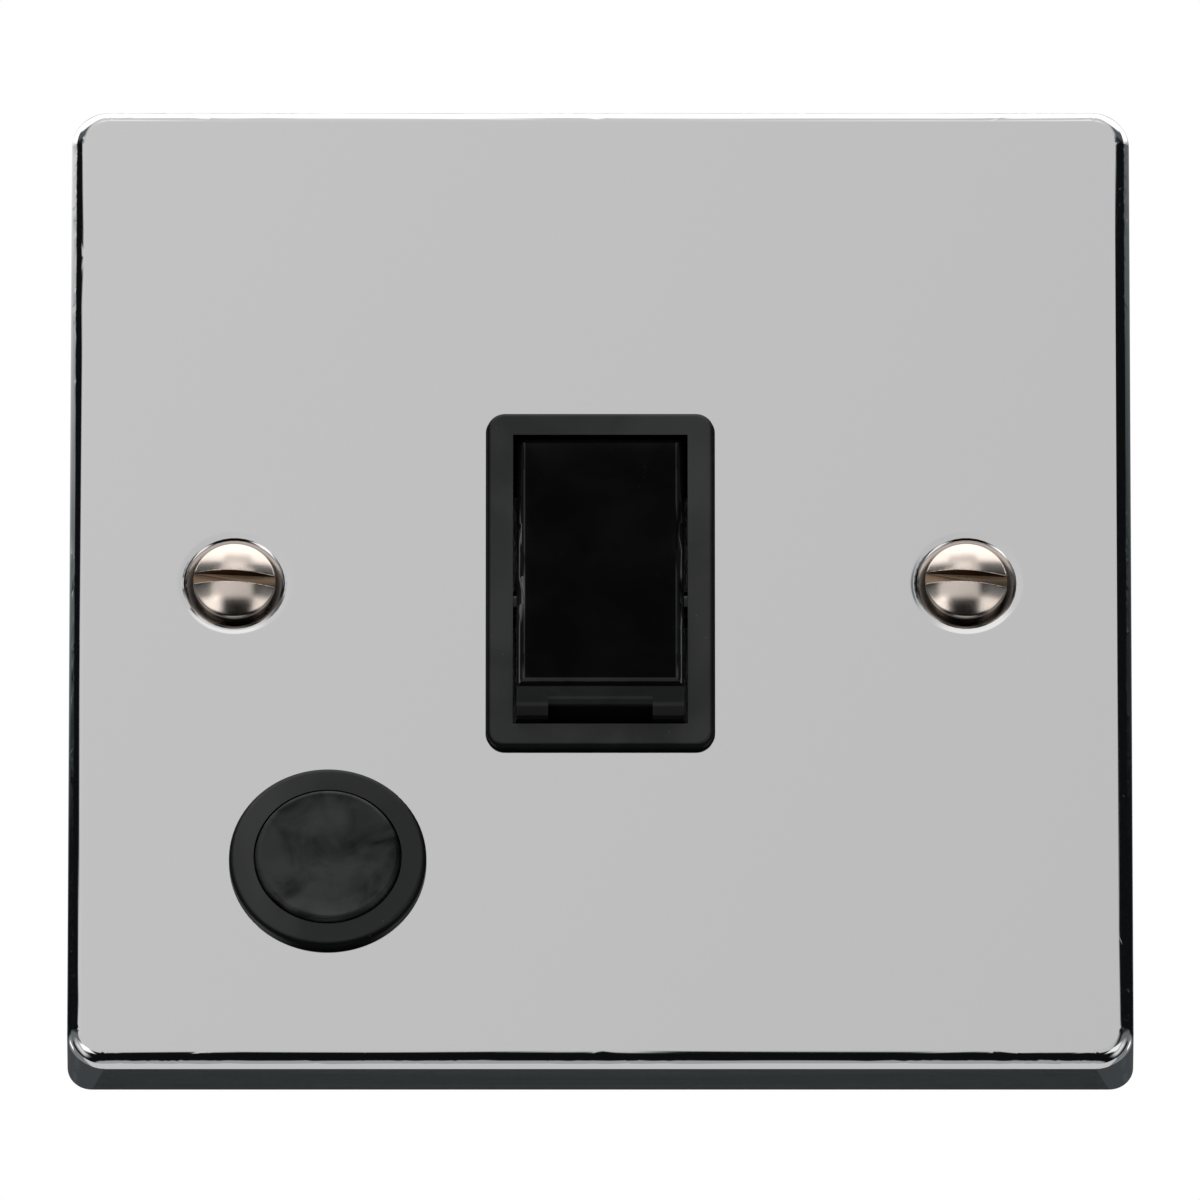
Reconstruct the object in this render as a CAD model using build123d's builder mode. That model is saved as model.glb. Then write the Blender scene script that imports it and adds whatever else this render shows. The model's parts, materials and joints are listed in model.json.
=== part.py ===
from build123d import *

import os
from math import atan2, cos, degrees, radians, sin, sqrt, tan

# Double pole switch with flex outlet, in millimetres.
# X points right, Z up and Y into the wall. The origin is the plate's centre in the wall plane.

# Fits that several pieces share
seat_gap = 0.02
thread_gap = 0.04
aperture_clearance = 0.1
pocket_clearance = 0.1

# Face plate, pressed from one sheet
plate_size = 87.5
plate_depth = 5.15
plate_sheet = 1.2
plate_corner_radius = 3.4
plate_rim_corner_radius = 2.0
plate_bend_radius = 1.2
plate_inner_bend_radius = 0.3

# Fixing screws, slotted raised countersunk, in countersinks pressed into the plate with a rounded lip
fixing_spacing = 60.3
fixing_diameter = 3.5
fixing_length = 24.4
fixing_tip_chamfer = 0.5
fixing_neck_diameter = 3.1
fixing_neck_clearance = 0.3
fixing_head_diameter = 6.85
fixing_head_land = 1.2
fixing_rim_radius = 0.4
fixing_dome_height = 0.9
fixing_slot_width = 1.0
fixing_slot_depth = 1.0
fixing_slot_tilt = 3.0
fixing_hole_clearance = 0.25
countersink_mouth_diameter = 8.65
countersink_lip_radius = 0.6
countersink_depth = 2.6

# Weld studs and nuts behind the plate
stud_diameter = 3.0
stud_length = 5.4
stud_chamfer = 0.3
stud_hole_clearance = 0.2
stud_spacing = 49.0
nut_across_flats = 5.5
nut_thickness = 2.4

# Front housing of the switch: bezel, flange behind the plate, bearing cheeks
bezel_height = 30.6
bezel_side_wall = 2.15
bezel_corner_radius = 1.5
bezel_proud = 0.8
bezel_edge_radius = 0.4
bezel_opening_width = 14.4
flange_thickness = 1.6
flange_width = 25.0
flange_height = 43.0
flange_corner_radius = 2.0
ear_width = 9.0
ear_margin = 4.0
cheek_thickness = 1.6
cheek_radius = 3.4

# Rocker, drawn about its own pivot with its front face outward
pivot_depth = 5.0
rocker_tilt = 8.8
rocker_side_clearance = 0.3
rocker_height = 7.2
rocker_half_length = 12.2
rocker_dish = 0.35
rocker_wall = 1.8
rocker_edge_radius = 0.7
rocker_skirt_angle = 94.0
skirt_overcut_angle = 4.0
rocker_end_clearance = 0.29
scoop_width = 8.6
scoop_drop = 0.9
scoop_depth = 0.9
scoop_end_angle = 85.0
trunnion_diameter = 3.0
trunnion_clearance = 0.05
trunnion_end_gap = 0.2
trunnion_ear_radius = 2.6

# Sprung plungers in sleeves of the rocker, one for each pole
pole_spacing = 7.2
sleeve_diameter = 4.4
sleeve_reach = 6.4
sleeve_bore_front = 3.4
plunger_diameter = 2.6
plunger_clearance = 0.08
plunger_guide = 3.2
plunger_rocking_gap = 0.1
spigot_diameter = 1.2
spigot_length = 1.4
spring_wire = 0.36
spring_mean_diameter = 1.8
spring_turns = 7

# See-saw contacts: a bar with a groove that rocks on the upright end of the supply strip
contact_drop = 10.8
contact_tilt = 8.0
contact_width = 4.6
contact_half_length = 10.4
contact_thickness = 1.2
contact_lift = 0.12
contact_clearance = 0.06
tip_diameter = 3.0
tip_offset = 8.8
moving_tip_thickness = 0.8
fixed_tip_thickness = 0.75
closed_gap = 0.12
strip_thickness = 0.9
strip_bend_radius = 0.6
strip_neck_width = 2.2

# Pillar terminals
terminal_width = 6.4
terminal_length = 6.5
terminal_height = 9.2
terminal_chamfer = 0.4
terminal_wall = 1.65
wire_bore_diameter = 4.2
terminal_screw_diameter = 3.5
terminal_screw_head_diameter = 5.4
terminal_screw_head_height = 1.6
terminal_screw_slot_width = 0.9
terminal_screw_slot_depth = 0.8

# Rear housing of the switch
base_wall = 1.6
base_floor = 1.9
base_corner_radius = 1.2
base_rear_chamfer = 0.6
cavity_depth_behind_pivot = 3.75
cavity_end_gap = 1.2
chamber_clearance = 0.6
partition_thickness = 1.1
wire_entry_diameter = 5.2
screw_access_diameter = 6.0
core_margin = 1.1
core_depth = 7.5
barrier_thickness = 1.6
barrier_reach = 2.5

# Countersunk screws that close the two housings
housing_screw_diameter = 2.5
housing_screw_head_diameter = 4.6
housing_screw_length = 9.0

# Flex outlet bush and the blanking plug in it
outlet_z = -25.4
bush_flange_diameter = 16.24
bush_proud = 0.85
bush_edge_radius = 0.45
bush_tube_diameter = 14.0
bush_bore_diameter = 10.8
bush_seat_diameter = 12.2
bush_seat_depth = 1.5
bush_lug_height = 1.0
bush_lug_reach = 0.45
bush_slot_width = 2.4
blank_diameter = 11.95
blank_rise = 0.4
blank_edge_radius = 0.45
blank_rim_width = 0.9
blank_dish = 0.2
blank_skirt_clearance = 0.08
blank_skirt_wall = 0.9

# Cord clamp behind the outlet
clamp_side_gap = 0.4
clamp_ring_width = 2.4
clamp_thickness = 1.6
clamp_width = 18.4
clamp_offset = 12.8
clamp_boss_spacing = 13.6
clamp_boss_diameter = 5.2
clamp_boss_height = 6.2
clamp_rib_height = 0.6
clamp_rib_width = 1.0
clamp_rib_spacing = 3.2
clamp_bar_length = 18.8
clamp_bar_width = 6.4
clamp_bar_thickness = 2.8
clamp_screw_diameter = 3.0
clamp_screw_head_diameter = 5.2
clamp_screw_head_height = 1.9
clamp_screw_grip = 4.6
clamp_screw_slot_width = 0.8
clamp_screw_slot_depth = 0.9

# Earth block on the third stud
earth_stud_x = 18.6
earth_block_width = 7.6
earth_block_height = 8.4
earth_length = 8.0
nut_side_gap = 0.5

# Depths along Y, worked out from the front of the plate backwards
plate_front = -plate_depth
plate_inner = plate_front + plate_sheet
flange_rear = plate_inner + flange_thickness
bezel_front = plate_front - bezel_proud
pivot_y = plate_front + pivot_depth
cavity_rear = pivot_y + cavity_depth_behind_pivot
contact_pivot_y = pivot_y + contact_drop
tip_swing = (moving_tip_thickness - contact_lift) * cos(radians(contact_tilt)) \
    + (tip_offset + tip_diameter / 2) * sin(radians(contact_tilt))
fixed_tip_front = contact_pivot_y + tip_swing + closed_gap
strip_front = fixed_tip_front + fixed_tip_thickness
floor_y = strip_front + strip_thickness
base_rear = floor_y + base_floor
terminal_front = strip_front - terminal_height
wire_bore_y = terminal_front + terminal_wall + wire_bore_diameter / 2

# Widths and places in the wall plane
bezel_width = bezel_opening_width + 2 * bezel_side_wall
rocker_width = bezel_opening_width - 2 * rocker_side_clearance
rocker_end_radius = sqrt(rocker_half_length**2 + rocker_height**2)
opening_radius = rocker_end_radius + rocker_end_clearance
pole_x = pole_spacing / 2
chamber_width = contact_width + 2 * chamber_clearance
chamber_half_height = contact_half_length + chamber_clearance
pocket_width = terminal_width + 2 * pocket_clearance
pocket_length = terminal_length + 2 * pocket_clearance
terminal_x = pole_x - contact_width / 2 + strip_neck_width + terminal_width / 2
terminal_z = chamber_half_height + partition_thickness + pocket_length / 2
cavity_half_height = opening_radius + cavity_end_gap - rocker_end_clearance
base_half_width = terminal_x + pocket_width / 2 + base_wall
base_half_height = terminal_z + pocket_length / 2 + base_wall
housing_screw_z = (cavity_half_height + base_half_height) / 2
ear_half_height = stud_spacing / 2 + ear_margin
countersink_radius = countersink_mouth_diameter / 2 - countersink_lip_radius * tan(radians(22.5))
clamp_ring_radius = bush_tube_diameter / 2 + aperture_clearance + clamp_ring_width
outlet_x = -(flange_width / 2 + clamp_side_gap + clamp_ring_radius)
clamp_z = outlet_z + clamp_offset
nut_reach = nut_across_flats / sqrt(3) + nut_side_gap
earth_wire_x = earth_stud_x + nut_reach + earth_block_width / 2

poles = {"line": -pole_x, "neutral": pole_x}
stud_places = [(0, stud_spacing / 2), (0, -stud_spacing / 2), (earth_stud_x, outlet_z)]
housing_screw_places = [(0, housing_screw_z), (0, -housing_screw_z)]


def depth_plane(y):
    """Plane parallel to the wall at depth y, facing the front: sketch x is X and sketch y is Z."""
    return Plane.XZ.offset(-y)


def turning_plane(x, y, z):
    """Plane for turned profiles about an axis along Y: sketch x is the radius, sketch y the depth past y."""
    return Plane(origin=(x, y, z), x_dir=(1, 0, 0), z_dir=(0, 0, 1))


def depth_axis(x, z):
    """Axis into the wall through a point of the wall plane."""
    return Axis((x, 0, z), (0, 1, 0))


def outward(tilt):
    """Direction that a rocking piece faces when its front is turned up by tilt degrees."""
    return Vector(0, -cos(radians(tilt)), sin(radians(tilt)))


def side_plane(x, y, tilt):
    """Side view of a rocking piece about its pivot: sketch x runs outward and sketch y up the piece."""
    return Plane(origin=(x, y, 0), x_dir=outward(tilt), z_dir=(-1, 0, 0))


def rocker_side(x=0):
    """Side view of the rocker at its rest tilt."""
    return side_plane(x, pivot_y, rocker_tilt)


def rocker_section(out):
    """Plane across the rocker at a distance outward of its pivot: sketch x is X and sketch y runs up."""
    facing = outward(rocker_tilt)
    return Plane(origin=Vector(0, pivot_y, 0) + facing * out, x_dir=(1, 0, 0), z_dir=facing)


def polar(radius, angle):
    """Point at a radius and an angle in degrees from the outward direction."""
    return (radius * cos(radians(angle)), radius * sin(radians(angle)))


def save(part, name):
    """Labels a finished piece and writes its STEP file."""
    part.label = name
    export_step(part, f"parts/{name}.step")


def make_slotted_screw(diameter, shank, head_diameter, head_height, slot_width, slot_depth):
    """Cheese head screw on the Y axis: its head's seat is at y = 0 and its shank points to the front."""
    with BuildPart() as screw:
        with BuildSketch(depth_plane(0)):
            Circle(diameter / 2)
        extrude(amount=shank)
        with BuildSketch(depth_plane(head_height)):
            Circle(head_diameter / 2)
        extrude(amount=head_height)
        rear_rim = screw.faces().sort_by(Axis.Y)[-1].edges()
        fillet(rear_rim, head_height / 5)
        with BuildSketch(depth_plane(head_height)):
            Rectangle(head_diameter, slot_width)
        extrude(amount=slot_depth, mode=Mode.SUBTRACT)
    return screw.part


def make_strip(pole, end, upright):
    """Contact strip on the base's floor: pad under a terminal, neck, tongue and, if asked for, an upright."""
    side = 1 if pole > 0 else -1
    pad_x = side * terminal_x
    pad_z = end * terminal_z
    neck_x = pad_x - side * (terminal_width - strip_neck_width) / 2
    neck_length = partition_thickness + 2 * pocket_clearance + chamber_clearance
    neck_z = end * (chamber_half_height + neck_length / 2 - chamber_clearance)
    tongue_end = 0 if upright else tip_offset - tip_diameter
    tongue_length = chamber_half_height - chamber_clearance / 2 - tongue_end
    tongue_z = end * (tongue_end + tongue_length / 2)
    with BuildPart() as strip:
        with BuildSketch(depth_plane(floor_y)):
            with Locations((pad_x, pad_z)):
                Rectangle(terminal_width, terminal_length)
            with Locations((neck_x, neck_z)):
                Rectangle(strip_neck_width, neck_length)
            with Locations((pole, tongue_z)):
                Rectangle(contact_width, tongue_length)
            with Locations((pad_x, pad_z)):
                Circle(terminal_screw_diameter / 2 + stud_hole_clearance, mode=Mode.SUBTRACT)
        extrude(amount=strip_thickness)
        if upright:
            with BuildSketch(Plane.YZ.offset(pole - contact_width / 2)):
                with Locations(((contact_pivot_y + floor_y) / 2, 0)):
                    Rectangle(floor_y - contact_pivot_y, strip_thickness)
                with Locations((contact_pivot_y, 0)):
                    Circle(strip_thickness / 2)
            extrude(amount=contact_width)
            bend = strip.edges().filter_by(Axis.X).sort_by_distance((pole, floor_y, strip_thickness / 2))[0]
            fillet(bend, strip_bend_radius)
    return strip.part


def make_moving_contact(pole):
    """See-saw bar in its rest tilt, with the groove that sits on the upright."""
    with BuildPart() as bar:
        with BuildSketch(side_plane(pole, contact_pivot_y, -contact_tilt)):
            with Locations((contact_lift + contact_thickness / 2, 0)):
                Rectangle(contact_thickness, 2 * contact_half_length)
            Circle(strip_thickness / 2 + contact_clearance, mode=Mode.SUBTRACT)
        extrude(amount=contact_width / 2, both=True)
        corners = bar.edges().filter_by(Axis((0, 0, 0), outward(-contact_tilt)))
        fillet(corners, contact_width / 5)
    return bar.part


def make_moving_tip(pole):
    """Silver rivet head under the load end of the see-saw."""
    facing = outward(-contact_tilt)
    up = facing.cross(Vector(1, 0, 0))
    seat = Vector(pole, contact_pivot_y, 0) + facing * (contact_lift - moving_tip_thickness) + up * tip_offset
    with BuildPart() as tip:
        with BuildSketch(Plane(origin=seat, x_dir=(1, 0, 0), z_dir=facing)):
            Circle(tip_diameter / 2)
        extrude(amount=moving_tip_thickness)
    return tip.part


def make_plunger(pole):
    """Round-nosed plunger in its sleeve, with a spigot that centres the spring."""
    nose = plunger_diameter / 2
    tip = -(contact_drop - contact_lift - contact_thickness - plunger_rocking_gap)
    shoulder = -sleeve_reach + plunger_guide
    with BuildPart() as plunger:
        with BuildSketch(rocker_side(pole)):
            with BuildLine():
                Polyline(
                    (tip, 0),
                    (shoulder + spigot_length, 0),
                    (shoulder + spigot_length, spigot_diameter / 2),
                    (shoulder, spigot_diameter / 2),
                    (shoulder, nose),
                    (tip + nose, nose),
                )
                CenterArc((tip + nose, 0), nose, 90, 90)
            make_face()
        revolve(axis=Axis((pole, pivot_y, 0), outward(rocker_tilt)))
    return plunger.part


def make_plunger_spring(pole):
    """Compression spring between the plunger's shoulder and the end of the sleeve's bore."""
    facing = outward(rocker_tilt)
    start = -sleeve_reach + plunger_guide + spring_wire / 2
    travel = sleeve_bore_front - spring_wire / 2 - start
    foot = Vector(pole, pivot_y, 0) + facing * start
    with BuildPart() as spring:
        with BuildLine() as coil:
            Helix(travel / spring_turns, travel, spring_mean_diameter / 2, center=foot, direction=facing)
        with BuildSketch(Plane(origin=coil.line @ 0, z_dir=coil.line % 0)):
            Circle(spring_wire / 2)
        sweep()
    return spring.part


def make_terminal(x, z):
    """Brass pillar terminal: wire bore along Z, clamping screw from the rear."""
    with BuildPart() as terminal:
        with BuildSketch(depth_plane(strip_front)):
            with Locations((x, z)):
                Rectangle(terminal_width, terminal_length)
        extrude(amount=terminal_height)
        chamfer(terminal.edges().filter_by(Axis.Z), terminal_chamfer)
        with BuildSketch(Plane.XY.offset(z - terminal_length / 2)):
            with Locations((x, wire_bore_y)):
                Circle(wire_bore_diameter / 2)
        extrude(amount=terminal_length, mode=Mode.SUBTRACT)
        with BuildSketch(depth_plane(strip_front)):
            with Locations((x, z)):
                Circle(terminal_screw_diameter / 2 + thread_gap)
        extrude(amount=strip_front - wire_bore_y, mode=Mode.SUBTRACT)
    return terminal.part


os.makedirs("parts", exist_ok=True)

# Face plate
with BuildPart() as face_plate:
    with BuildSketch(depth_plane(0)):
        RectangleRounded(plate_size, plate_size, plate_rim_corner_radius)
    with BuildSketch(depth_plane(plate_front)):
        RectangleRounded(plate_size, plate_size, plate_corner_radius)
    loft(ruled=True)
    fillet(face_plate.faces().sort_by(Axis.Y)[0].edges(), plate_bend_radius)
    inner_size = plate_size - 2 * plate_sheet
    with BuildSketch(depth_plane(0)):
        RectangleRounded(inner_size, inner_size, plate_corner_radius - plate_sheet)
    extrude(amount=-plate_inner, mode=Mode.SUBTRACT)
    fillet(face_plate.faces().filter_by(Axis.Y).sort_by(Axis.Y)[1].edges(), plate_inner_bend_radius)
    dimple_wall = plate_sheet * sqrt(2)
    with Locations(depth_plane(plate_front + countersink_depth)):
        with GridLocations(fixing_spacing, 0, 2, 1):
            Cone(
                bottom_radius=countersink_radius - countersink_depth + dimple_wall,
                top_radius=countersink_radius - plate_sheet / 2 + dimple_wall,
                height=countersink_depth - plate_sheet / 2,
                align=(Align.CENTER, Align.CENTER, Align.MIN),
            )
    with Locations(depth_plane(plate_front)):
        with GridLocations(fixing_spacing, 0, 2, 1):
            CounterSinkHole(
                radius=fixing_diameter / 2 + fixing_hole_clearance,
                counter_sink_radius=countersink_radius,
                depth=2 * countersink_depth,
                counter_sink_angle=90,
            )
    countersink_rims = face_plate.faces().sort_by(Axis.Y)[0].edges().filter_by(GeomType.CIRCLE)
    countersink_rims = countersink_rims.filter_by(lambda rim: abs(rim.radius - countersink_radius) < 0.001)
    fillet(countersink_rims, countersink_lip_radius)
    with BuildSketch(depth_plane(plate_inner)):
        RectangleRounded(
            bezel_width + 2 * aperture_clearance,
            bezel_height + 2 * aperture_clearance,
            bezel_corner_radius + aperture_clearance,
        )
        with Locations((outlet_x, outlet_z)):
            Circle(bush_tube_diameter / 2 + aperture_clearance)
    extrude(amount=plate_sheet, mode=Mode.SUBTRACT)
save(face_plate.part, "face_plate")

# Fixing screws: one turned screw at the centre of the plate, then copied to both countersinks
head_radius = fixing_head_diameter / 2
rim_depth = countersink_radius - head_radius - seat_gap
dome_top = -fixing_head_land - fixing_dome_height
dome_radius = (head_radius**2 + fixing_dome_height**2) / (2 * fixing_dome_height)
shank_radius = fixing_diameter / 2
neck_radius = fixing_neck_diameter / 2
neck_end = countersink_depth + fixing_neck_clearance - rim_depth
with BuildPart() as fixing_screw:
    with BuildSketch(turning_plane(0, plate_front + rim_depth, 0)):
        with BuildLine():
            Polyline(
                (0, dome_top),
                (0, fixing_length),
                (shank_radius - fixing_tip_chamfer, fixing_length),
                (shank_radius, fixing_length - fixing_tip_chamfer),
                (shank_radius, neck_end + shank_radius - neck_radius),
                (neck_radius, neck_end),
                (neck_radius, head_radius - neck_radius),
                (head_radius, 0),
                (head_radius, -fixing_head_land),
            )
            RadiusArc((head_radius, -fixing_head_land), (0, dome_top), dome_radius)
        make_face()
    revolve(axis=depth_axis(0, 0))
    head_rims = fixing_screw.edges().filter_by(GeomType.CIRCLE)
    head_rims = head_rims.filter_by(lambda rim: abs(rim.radius - head_radius) < 0.001)
    fillet(head_rims.sort_by(Axis.Y)[0], fixing_rim_radius)
    with BuildSketch(depth_plane(plate_front + rim_depth + dome_top + fixing_slot_depth)):
        Rectangle(fixing_head_diameter, fixing_slot_width, rotation=-fixing_slot_tilt)
    extrude(amount=fixing_slot_depth, mode=Mode.SUBTRACT)
with BuildPart() as fixing_screws:
    with Locations((fixing_spacing / 2, 0, 0), (-fixing_spacing / 2, 0, 0)):
        add(fixing_screw.part)
save(fixing_screws.part, "fixing_screws")

# Weld studs and their nuts
with BuildPart() as plate_studs:
    with BuildSketch(depth_plane(plate_inner + stud_length)):
        with Locations(*stud_places):
            Circle(stud_diameter / 2)
    extrude(amount=stud_length)
    chamfer(plate_studs.faces().group_by(Axis.Y)[-1].edges(), stud_chamfer)
save(plate_studs.part, "plate_studs")

with BuildPart() as stud_nuts:
    with BuildSketch(depth_plane(flange_rear + nut_thickness)):
        with Locations(*stud_places):
            RegularPolygon(nut_across_flats / 2, 6, major_radius=False)
            Circle(stud_diameter / 2 + thread_gap, mode=Mode.SUBTRACT)
    extrude(amount=nut_thickness)
save(stud_nuts.part, "stud_nuts")

# Front housing: bezel through the plate, flange with ears, cheeks that carry the rocker
with BuildPart() as switch_bezel:
    with BuildSketch(depth_plane(plate_inner)):
        RectangleRounded(bezel_width, bezel_height, bezel_corner_radius)
    extrude(amount=plate_inner - bezel_front)
    fillet(switch_bezel.faces().sort_by(Axis.Y)[0].edges(), bezel_edge_radius)
    with BuildSketch(depth_plane(flange_rear)):
        RectangleRounded(flange_width, flange_height, flange_corner_radius)
        RectangleRounded(ear_width, 2 * ear_half_height, flange_corner_radius)
        with Locations(*stud_places[:2]):
            Circle(stud_diameter / 2 + stud_hole_clearance, mode=Mode.SUBTRACT)
    extrude(amount=flange_thickness)
    with BuildSketch(Plane.YZ):
        with Locations((pivot_y, 0)):
            Circle(opening_radius)
    extrude(amount=bezel_opening_width / 2, both=True, mode=Mode.SUBTRACT)
    for side in (-1, 1):
        with BuildSketch(Plane.YZ.offset(side * bezel_opening_width / 2)):
            with Locations((pivot_y, 0)):
                Circle(cheek_radius)
            with Locations(((flange_rear + pivot_y) / 2, 0)):
                Rectangle(pivot_y - flange_rear, 2 * cheek_radius)
            with Locations((pivot_y, 0)):
                Circle(trunnion_diameter / 2 + trunnion_clearance, mode=Mode.SUBTRACT)
        extrude(amount=side * cheek_thickness)
    with Locations(depth_plane(plate_inner)):
        with Locations(*housing_screw_places):
            CounterSinkHole(
                radius=housing_screw_diameter / 2 + stud_hole_clearance,
                counter_sink_radius=housing_screw_head_diameter / 2 + seat_gap,
                depth=2 * flange_thickness,
                counter_sink_angle=90,
            )
save(switch_bezel.part, "switch_bezel")

# Rocker: hollow moulding with scooped ends, trunnion ears and plunger sleeves
front_angle = degrees(atan2(rocker_half_length, rocker_height))
skirt_sweep = rocker_skirt_angle - front_angle
inner_radius = rocker_end_radius - rocker_wall
inner_height = rocker_height - rocker_dish - rocker_wall
inner_angle = degrees(atan2(sqrt(inner_radius**2 - inner_height**2), inner_height))
inner_sweep = rocker_skirt_angle + skirt_overcut_angle - inner_angle
scoop_angle = front_angle + degrees(scoop_drop / rocker_end_radius)
with BuildPart() as rocker:
    with BuildSketch(rocker_side()):
        with BuildLine():
            lower_corner = polar(rocker_end_radius, -front_angle)
            upper_corner = polar(rocker_end_radius, front_angle)
            ThreePointArc(lower_corner, (rocker_height - rocker_dish, 0), upper_corner)
            upper_end = CenterArc((0, 0), rocker_end_radius, front_angle, skirt_sweep)
            lower_end = CenterArc((0, 0), rocker_end_radius, -front_angle, -skirt_sweep)
            Line(upper_end @ 1, lower_end @ 1)
        make_face()
    extrude(amount=rocker_width / 2, both=True)
    out_axis = Axis((0, pivot_y, 0), outward(rocker_tilt))
    front_face = rocker.faces().sort_by(out_axis)[-1]
    fillet(front_face.edges(), rocker_edge_radius)
    with BuildSketch(rocker_side()):
        with BuildLine():
            upper_wall = CenterArc((0, 0), inner_radius, inner_angle, inner_sweep)
            lower_wall = CenterArc((0, 0), inner_radius, -inner_angle, -inner_sweep)
            Line(upper_wall @ 0, lower_wall @ 0)
            Line(upper_wall @ 1, lower_wall @ 1)
        make_face()
    extrude(amount=rocker_width / 2 - rocker_wall, both=True, mode=Mode.SUBTRACT)
    with BuildSketch(rocker_side()) as scoops:
        with BuildLine():
            scoop_sweep = scoop_end_angle - scoop_angle
            scoop_floor = CenterArc((0, 0), rocker_end_radius - scoop_depth, scoop_angle, scoop_sweep)
            Polyline(
                scoop_floor @ 0,
                polar(rocker_end_radius + scoop_depth, scoop_angle),
                polar(rocker_end_radius + scoop_depth, scoop_end_angle),
                scoop_floor @ 1,
            )
        make_face()
        mirror(about=Plane.XZ)
    extrude(amount=scoop_width / 2, both=True, mode=Mode.SUBTRACT)
    for side in (-1, 1):
        with BuildSketch(rocker_side(side * (rocker_width / 2 - rocker_wall))):
            Circle(trunnion_ear_radius)
        extrude(amount=-side * rocker_wall)
        with BuildSketch(rocker_side(side * rocker_width / 2)):
            Circle(trunnion_diameter / 2)
        trunnion_length = (bezel_opening_width - rocker_width) / 2 + cheek_thickness - trunnion_end_gap
        extrude(amount=-side * trunnion_length)
    with BuildSketch(rocker_section(-sleeve_reach)):
        with GridLocations(pole_spacing, 0, 2, 1):
            Circle(sleeve_diameter / 2)
    extrude(amount=sleeve_reach + inner_height + rocker_wall / 3)
    with BuildSketch(rocker_section(-sleeve_reach)):
        with GridLocations(pole_spacing, 0, 2, 1):
            Circle(plunger_diameter / 2 + plunger_clearance)
    extrude(amount=sleeve_reach + sleeve_bore_front, mode=Mode.SUBTRACT)
save(rocker.part, "rocker")

# Rear housing: cavity behind the rocker, two pole chambers, four terminal pockets
with BuildPart() as switch_base:
    with BuildSketch(depth_plane(base_rear)):
        RectangleRounded(2 * base_half_width, 2 * base_half_height, base_corner_radius)
    extrude(amount=base_rear - flange_rear)
    chamfer(switch_base.faces().sort_by(Axis.Y)[-1].edges(), base_rear_chamfer)
    with BuildSketch(depth_plane(cavity_rear)):
        Rectangle(2 * (base_half_width - base_wall), 2 * cavity_half_height)
    extrude(amount=cavity_rear - flange_rear, mode=Mode.SUBTRACT)
    with BuildSketch(depth_plane(floor_y)):
        with GridLocations(pole_spacing, 0, 2, 1):
            Rectangle(chamber_width, 2 * chamber_half_height)
        with GridLocations(2 * terminal_x, 2 * terminal_z, 2, 2):
            Rectangle(pocket_width, pocket_length)
    extrude(amount=floor_y - cavity_rear, mode=Mode.SUBTRACT)
    cover_z = (cavity_half_height + base_half_height - base_wall) / 2
    with BuildSketch(depth_plane(cavity_rear)):
        with GridLocations(2 * terminal_x, 2 * cover_z, 2, 2):
            Rectangle(pocket_width, base_half_height - base_wall - cavity_half_height)
    extrude(amount=cavity_rear - flange_rear, mode=Mode.SUBTRACT)
    neck_x = terminal_x - (terminal_width - strip_neck_width) / 2
    with BuildSketch(depth_plane(floor_y)):
        with GridLocations(2 * neck_x, 2 * chamber_half_height + partition_thickness, 2, 2):
            Rectangle(strip_neck_width + 2 * pocket_clearance, partition_thickness)
    extrude(amount=strip_thickness + pocket_clearance, mode=Mode.SUBTRACT)
    with BuildSketch(depth_plane(base_rear)):
        with GridLocations(2 * terminal_x, 2 * terminal_z, 2, 2):
            Circle(screw_access_diameter / 2)
    extrude(amount=base_floor, mode=Mode.SUBTRACT)
    core_width = 2 * (terminal_x - pocket_width / 2 - core_margin)
    core_length = pocket_length - 2 * core_margin
    with BuildSketch(depth_plane(base_rear)):
        with GridLocations(0, 2 * terminal_z, 1, 2):
            Rectangle(core_width, core_length)
    extrude(amount=core_depth, mode=Mode.SUBTRACT)
    for entry_z in (-base_half_height, base_half_height - base_wall):
        with BuildSketch(Plane.XY.offset(entry_z)):
            with Locations((-terminal_x, wire_bore_y), (terminal_x, wire_bore_y)):
                Circle(wire_entry_diameter / 2)
        extrude(amount=base_wall, mode=Mode.SUBTRACT)
    with BuildSketch(depth_plane(base_rear - base_rear_chamfer)):
        with GridLocations(0, 2 * base_half_height + barrier_reach, 1, 2):
            Rectangle(barrier_thickness, barrier_reach)
    extrude(amount=base_rear - base_rear_chamfer - cavity_rear)
    with BuildSketch(depth_plane(plate_inner + housing_screw_length)):
        with Locations(*housing_screw_places):
            Circle(housing_screw_diameter / 2 + thread_gap)
    extrude(amount=housing_screw_length - flange_thickness, mode=Mode.SUBTRACT)
save(switch_base.part, "switch_base")

# Screws that hold the two housings together
with BuildPart() as housing_screws:
    with BuildSketch(depth_plane(plate_inner + housing_screw_length)):
        with Locations(*housing_screw_places):
            Circle(housing_screw_diameter / 2)
    extrude(amount=housing_screw_length)
    head_drop = (housing_screw_head_diameter - housing_screw_diameter) / 2
    with Locations(depth_plane(plate_inner + head_drop)):
        with Locations(*housing_screw_places):
            Cone(
                bottom_radius=housing_screw_diameter / 2,
                top_radius=housing_screw_head_diameter / 2,
                height=head_drop,
                align=(Align.CENTER, Align.CENTER, Align.MIN),
            )
save(housing_screws.part, "housing_screws")

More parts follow.
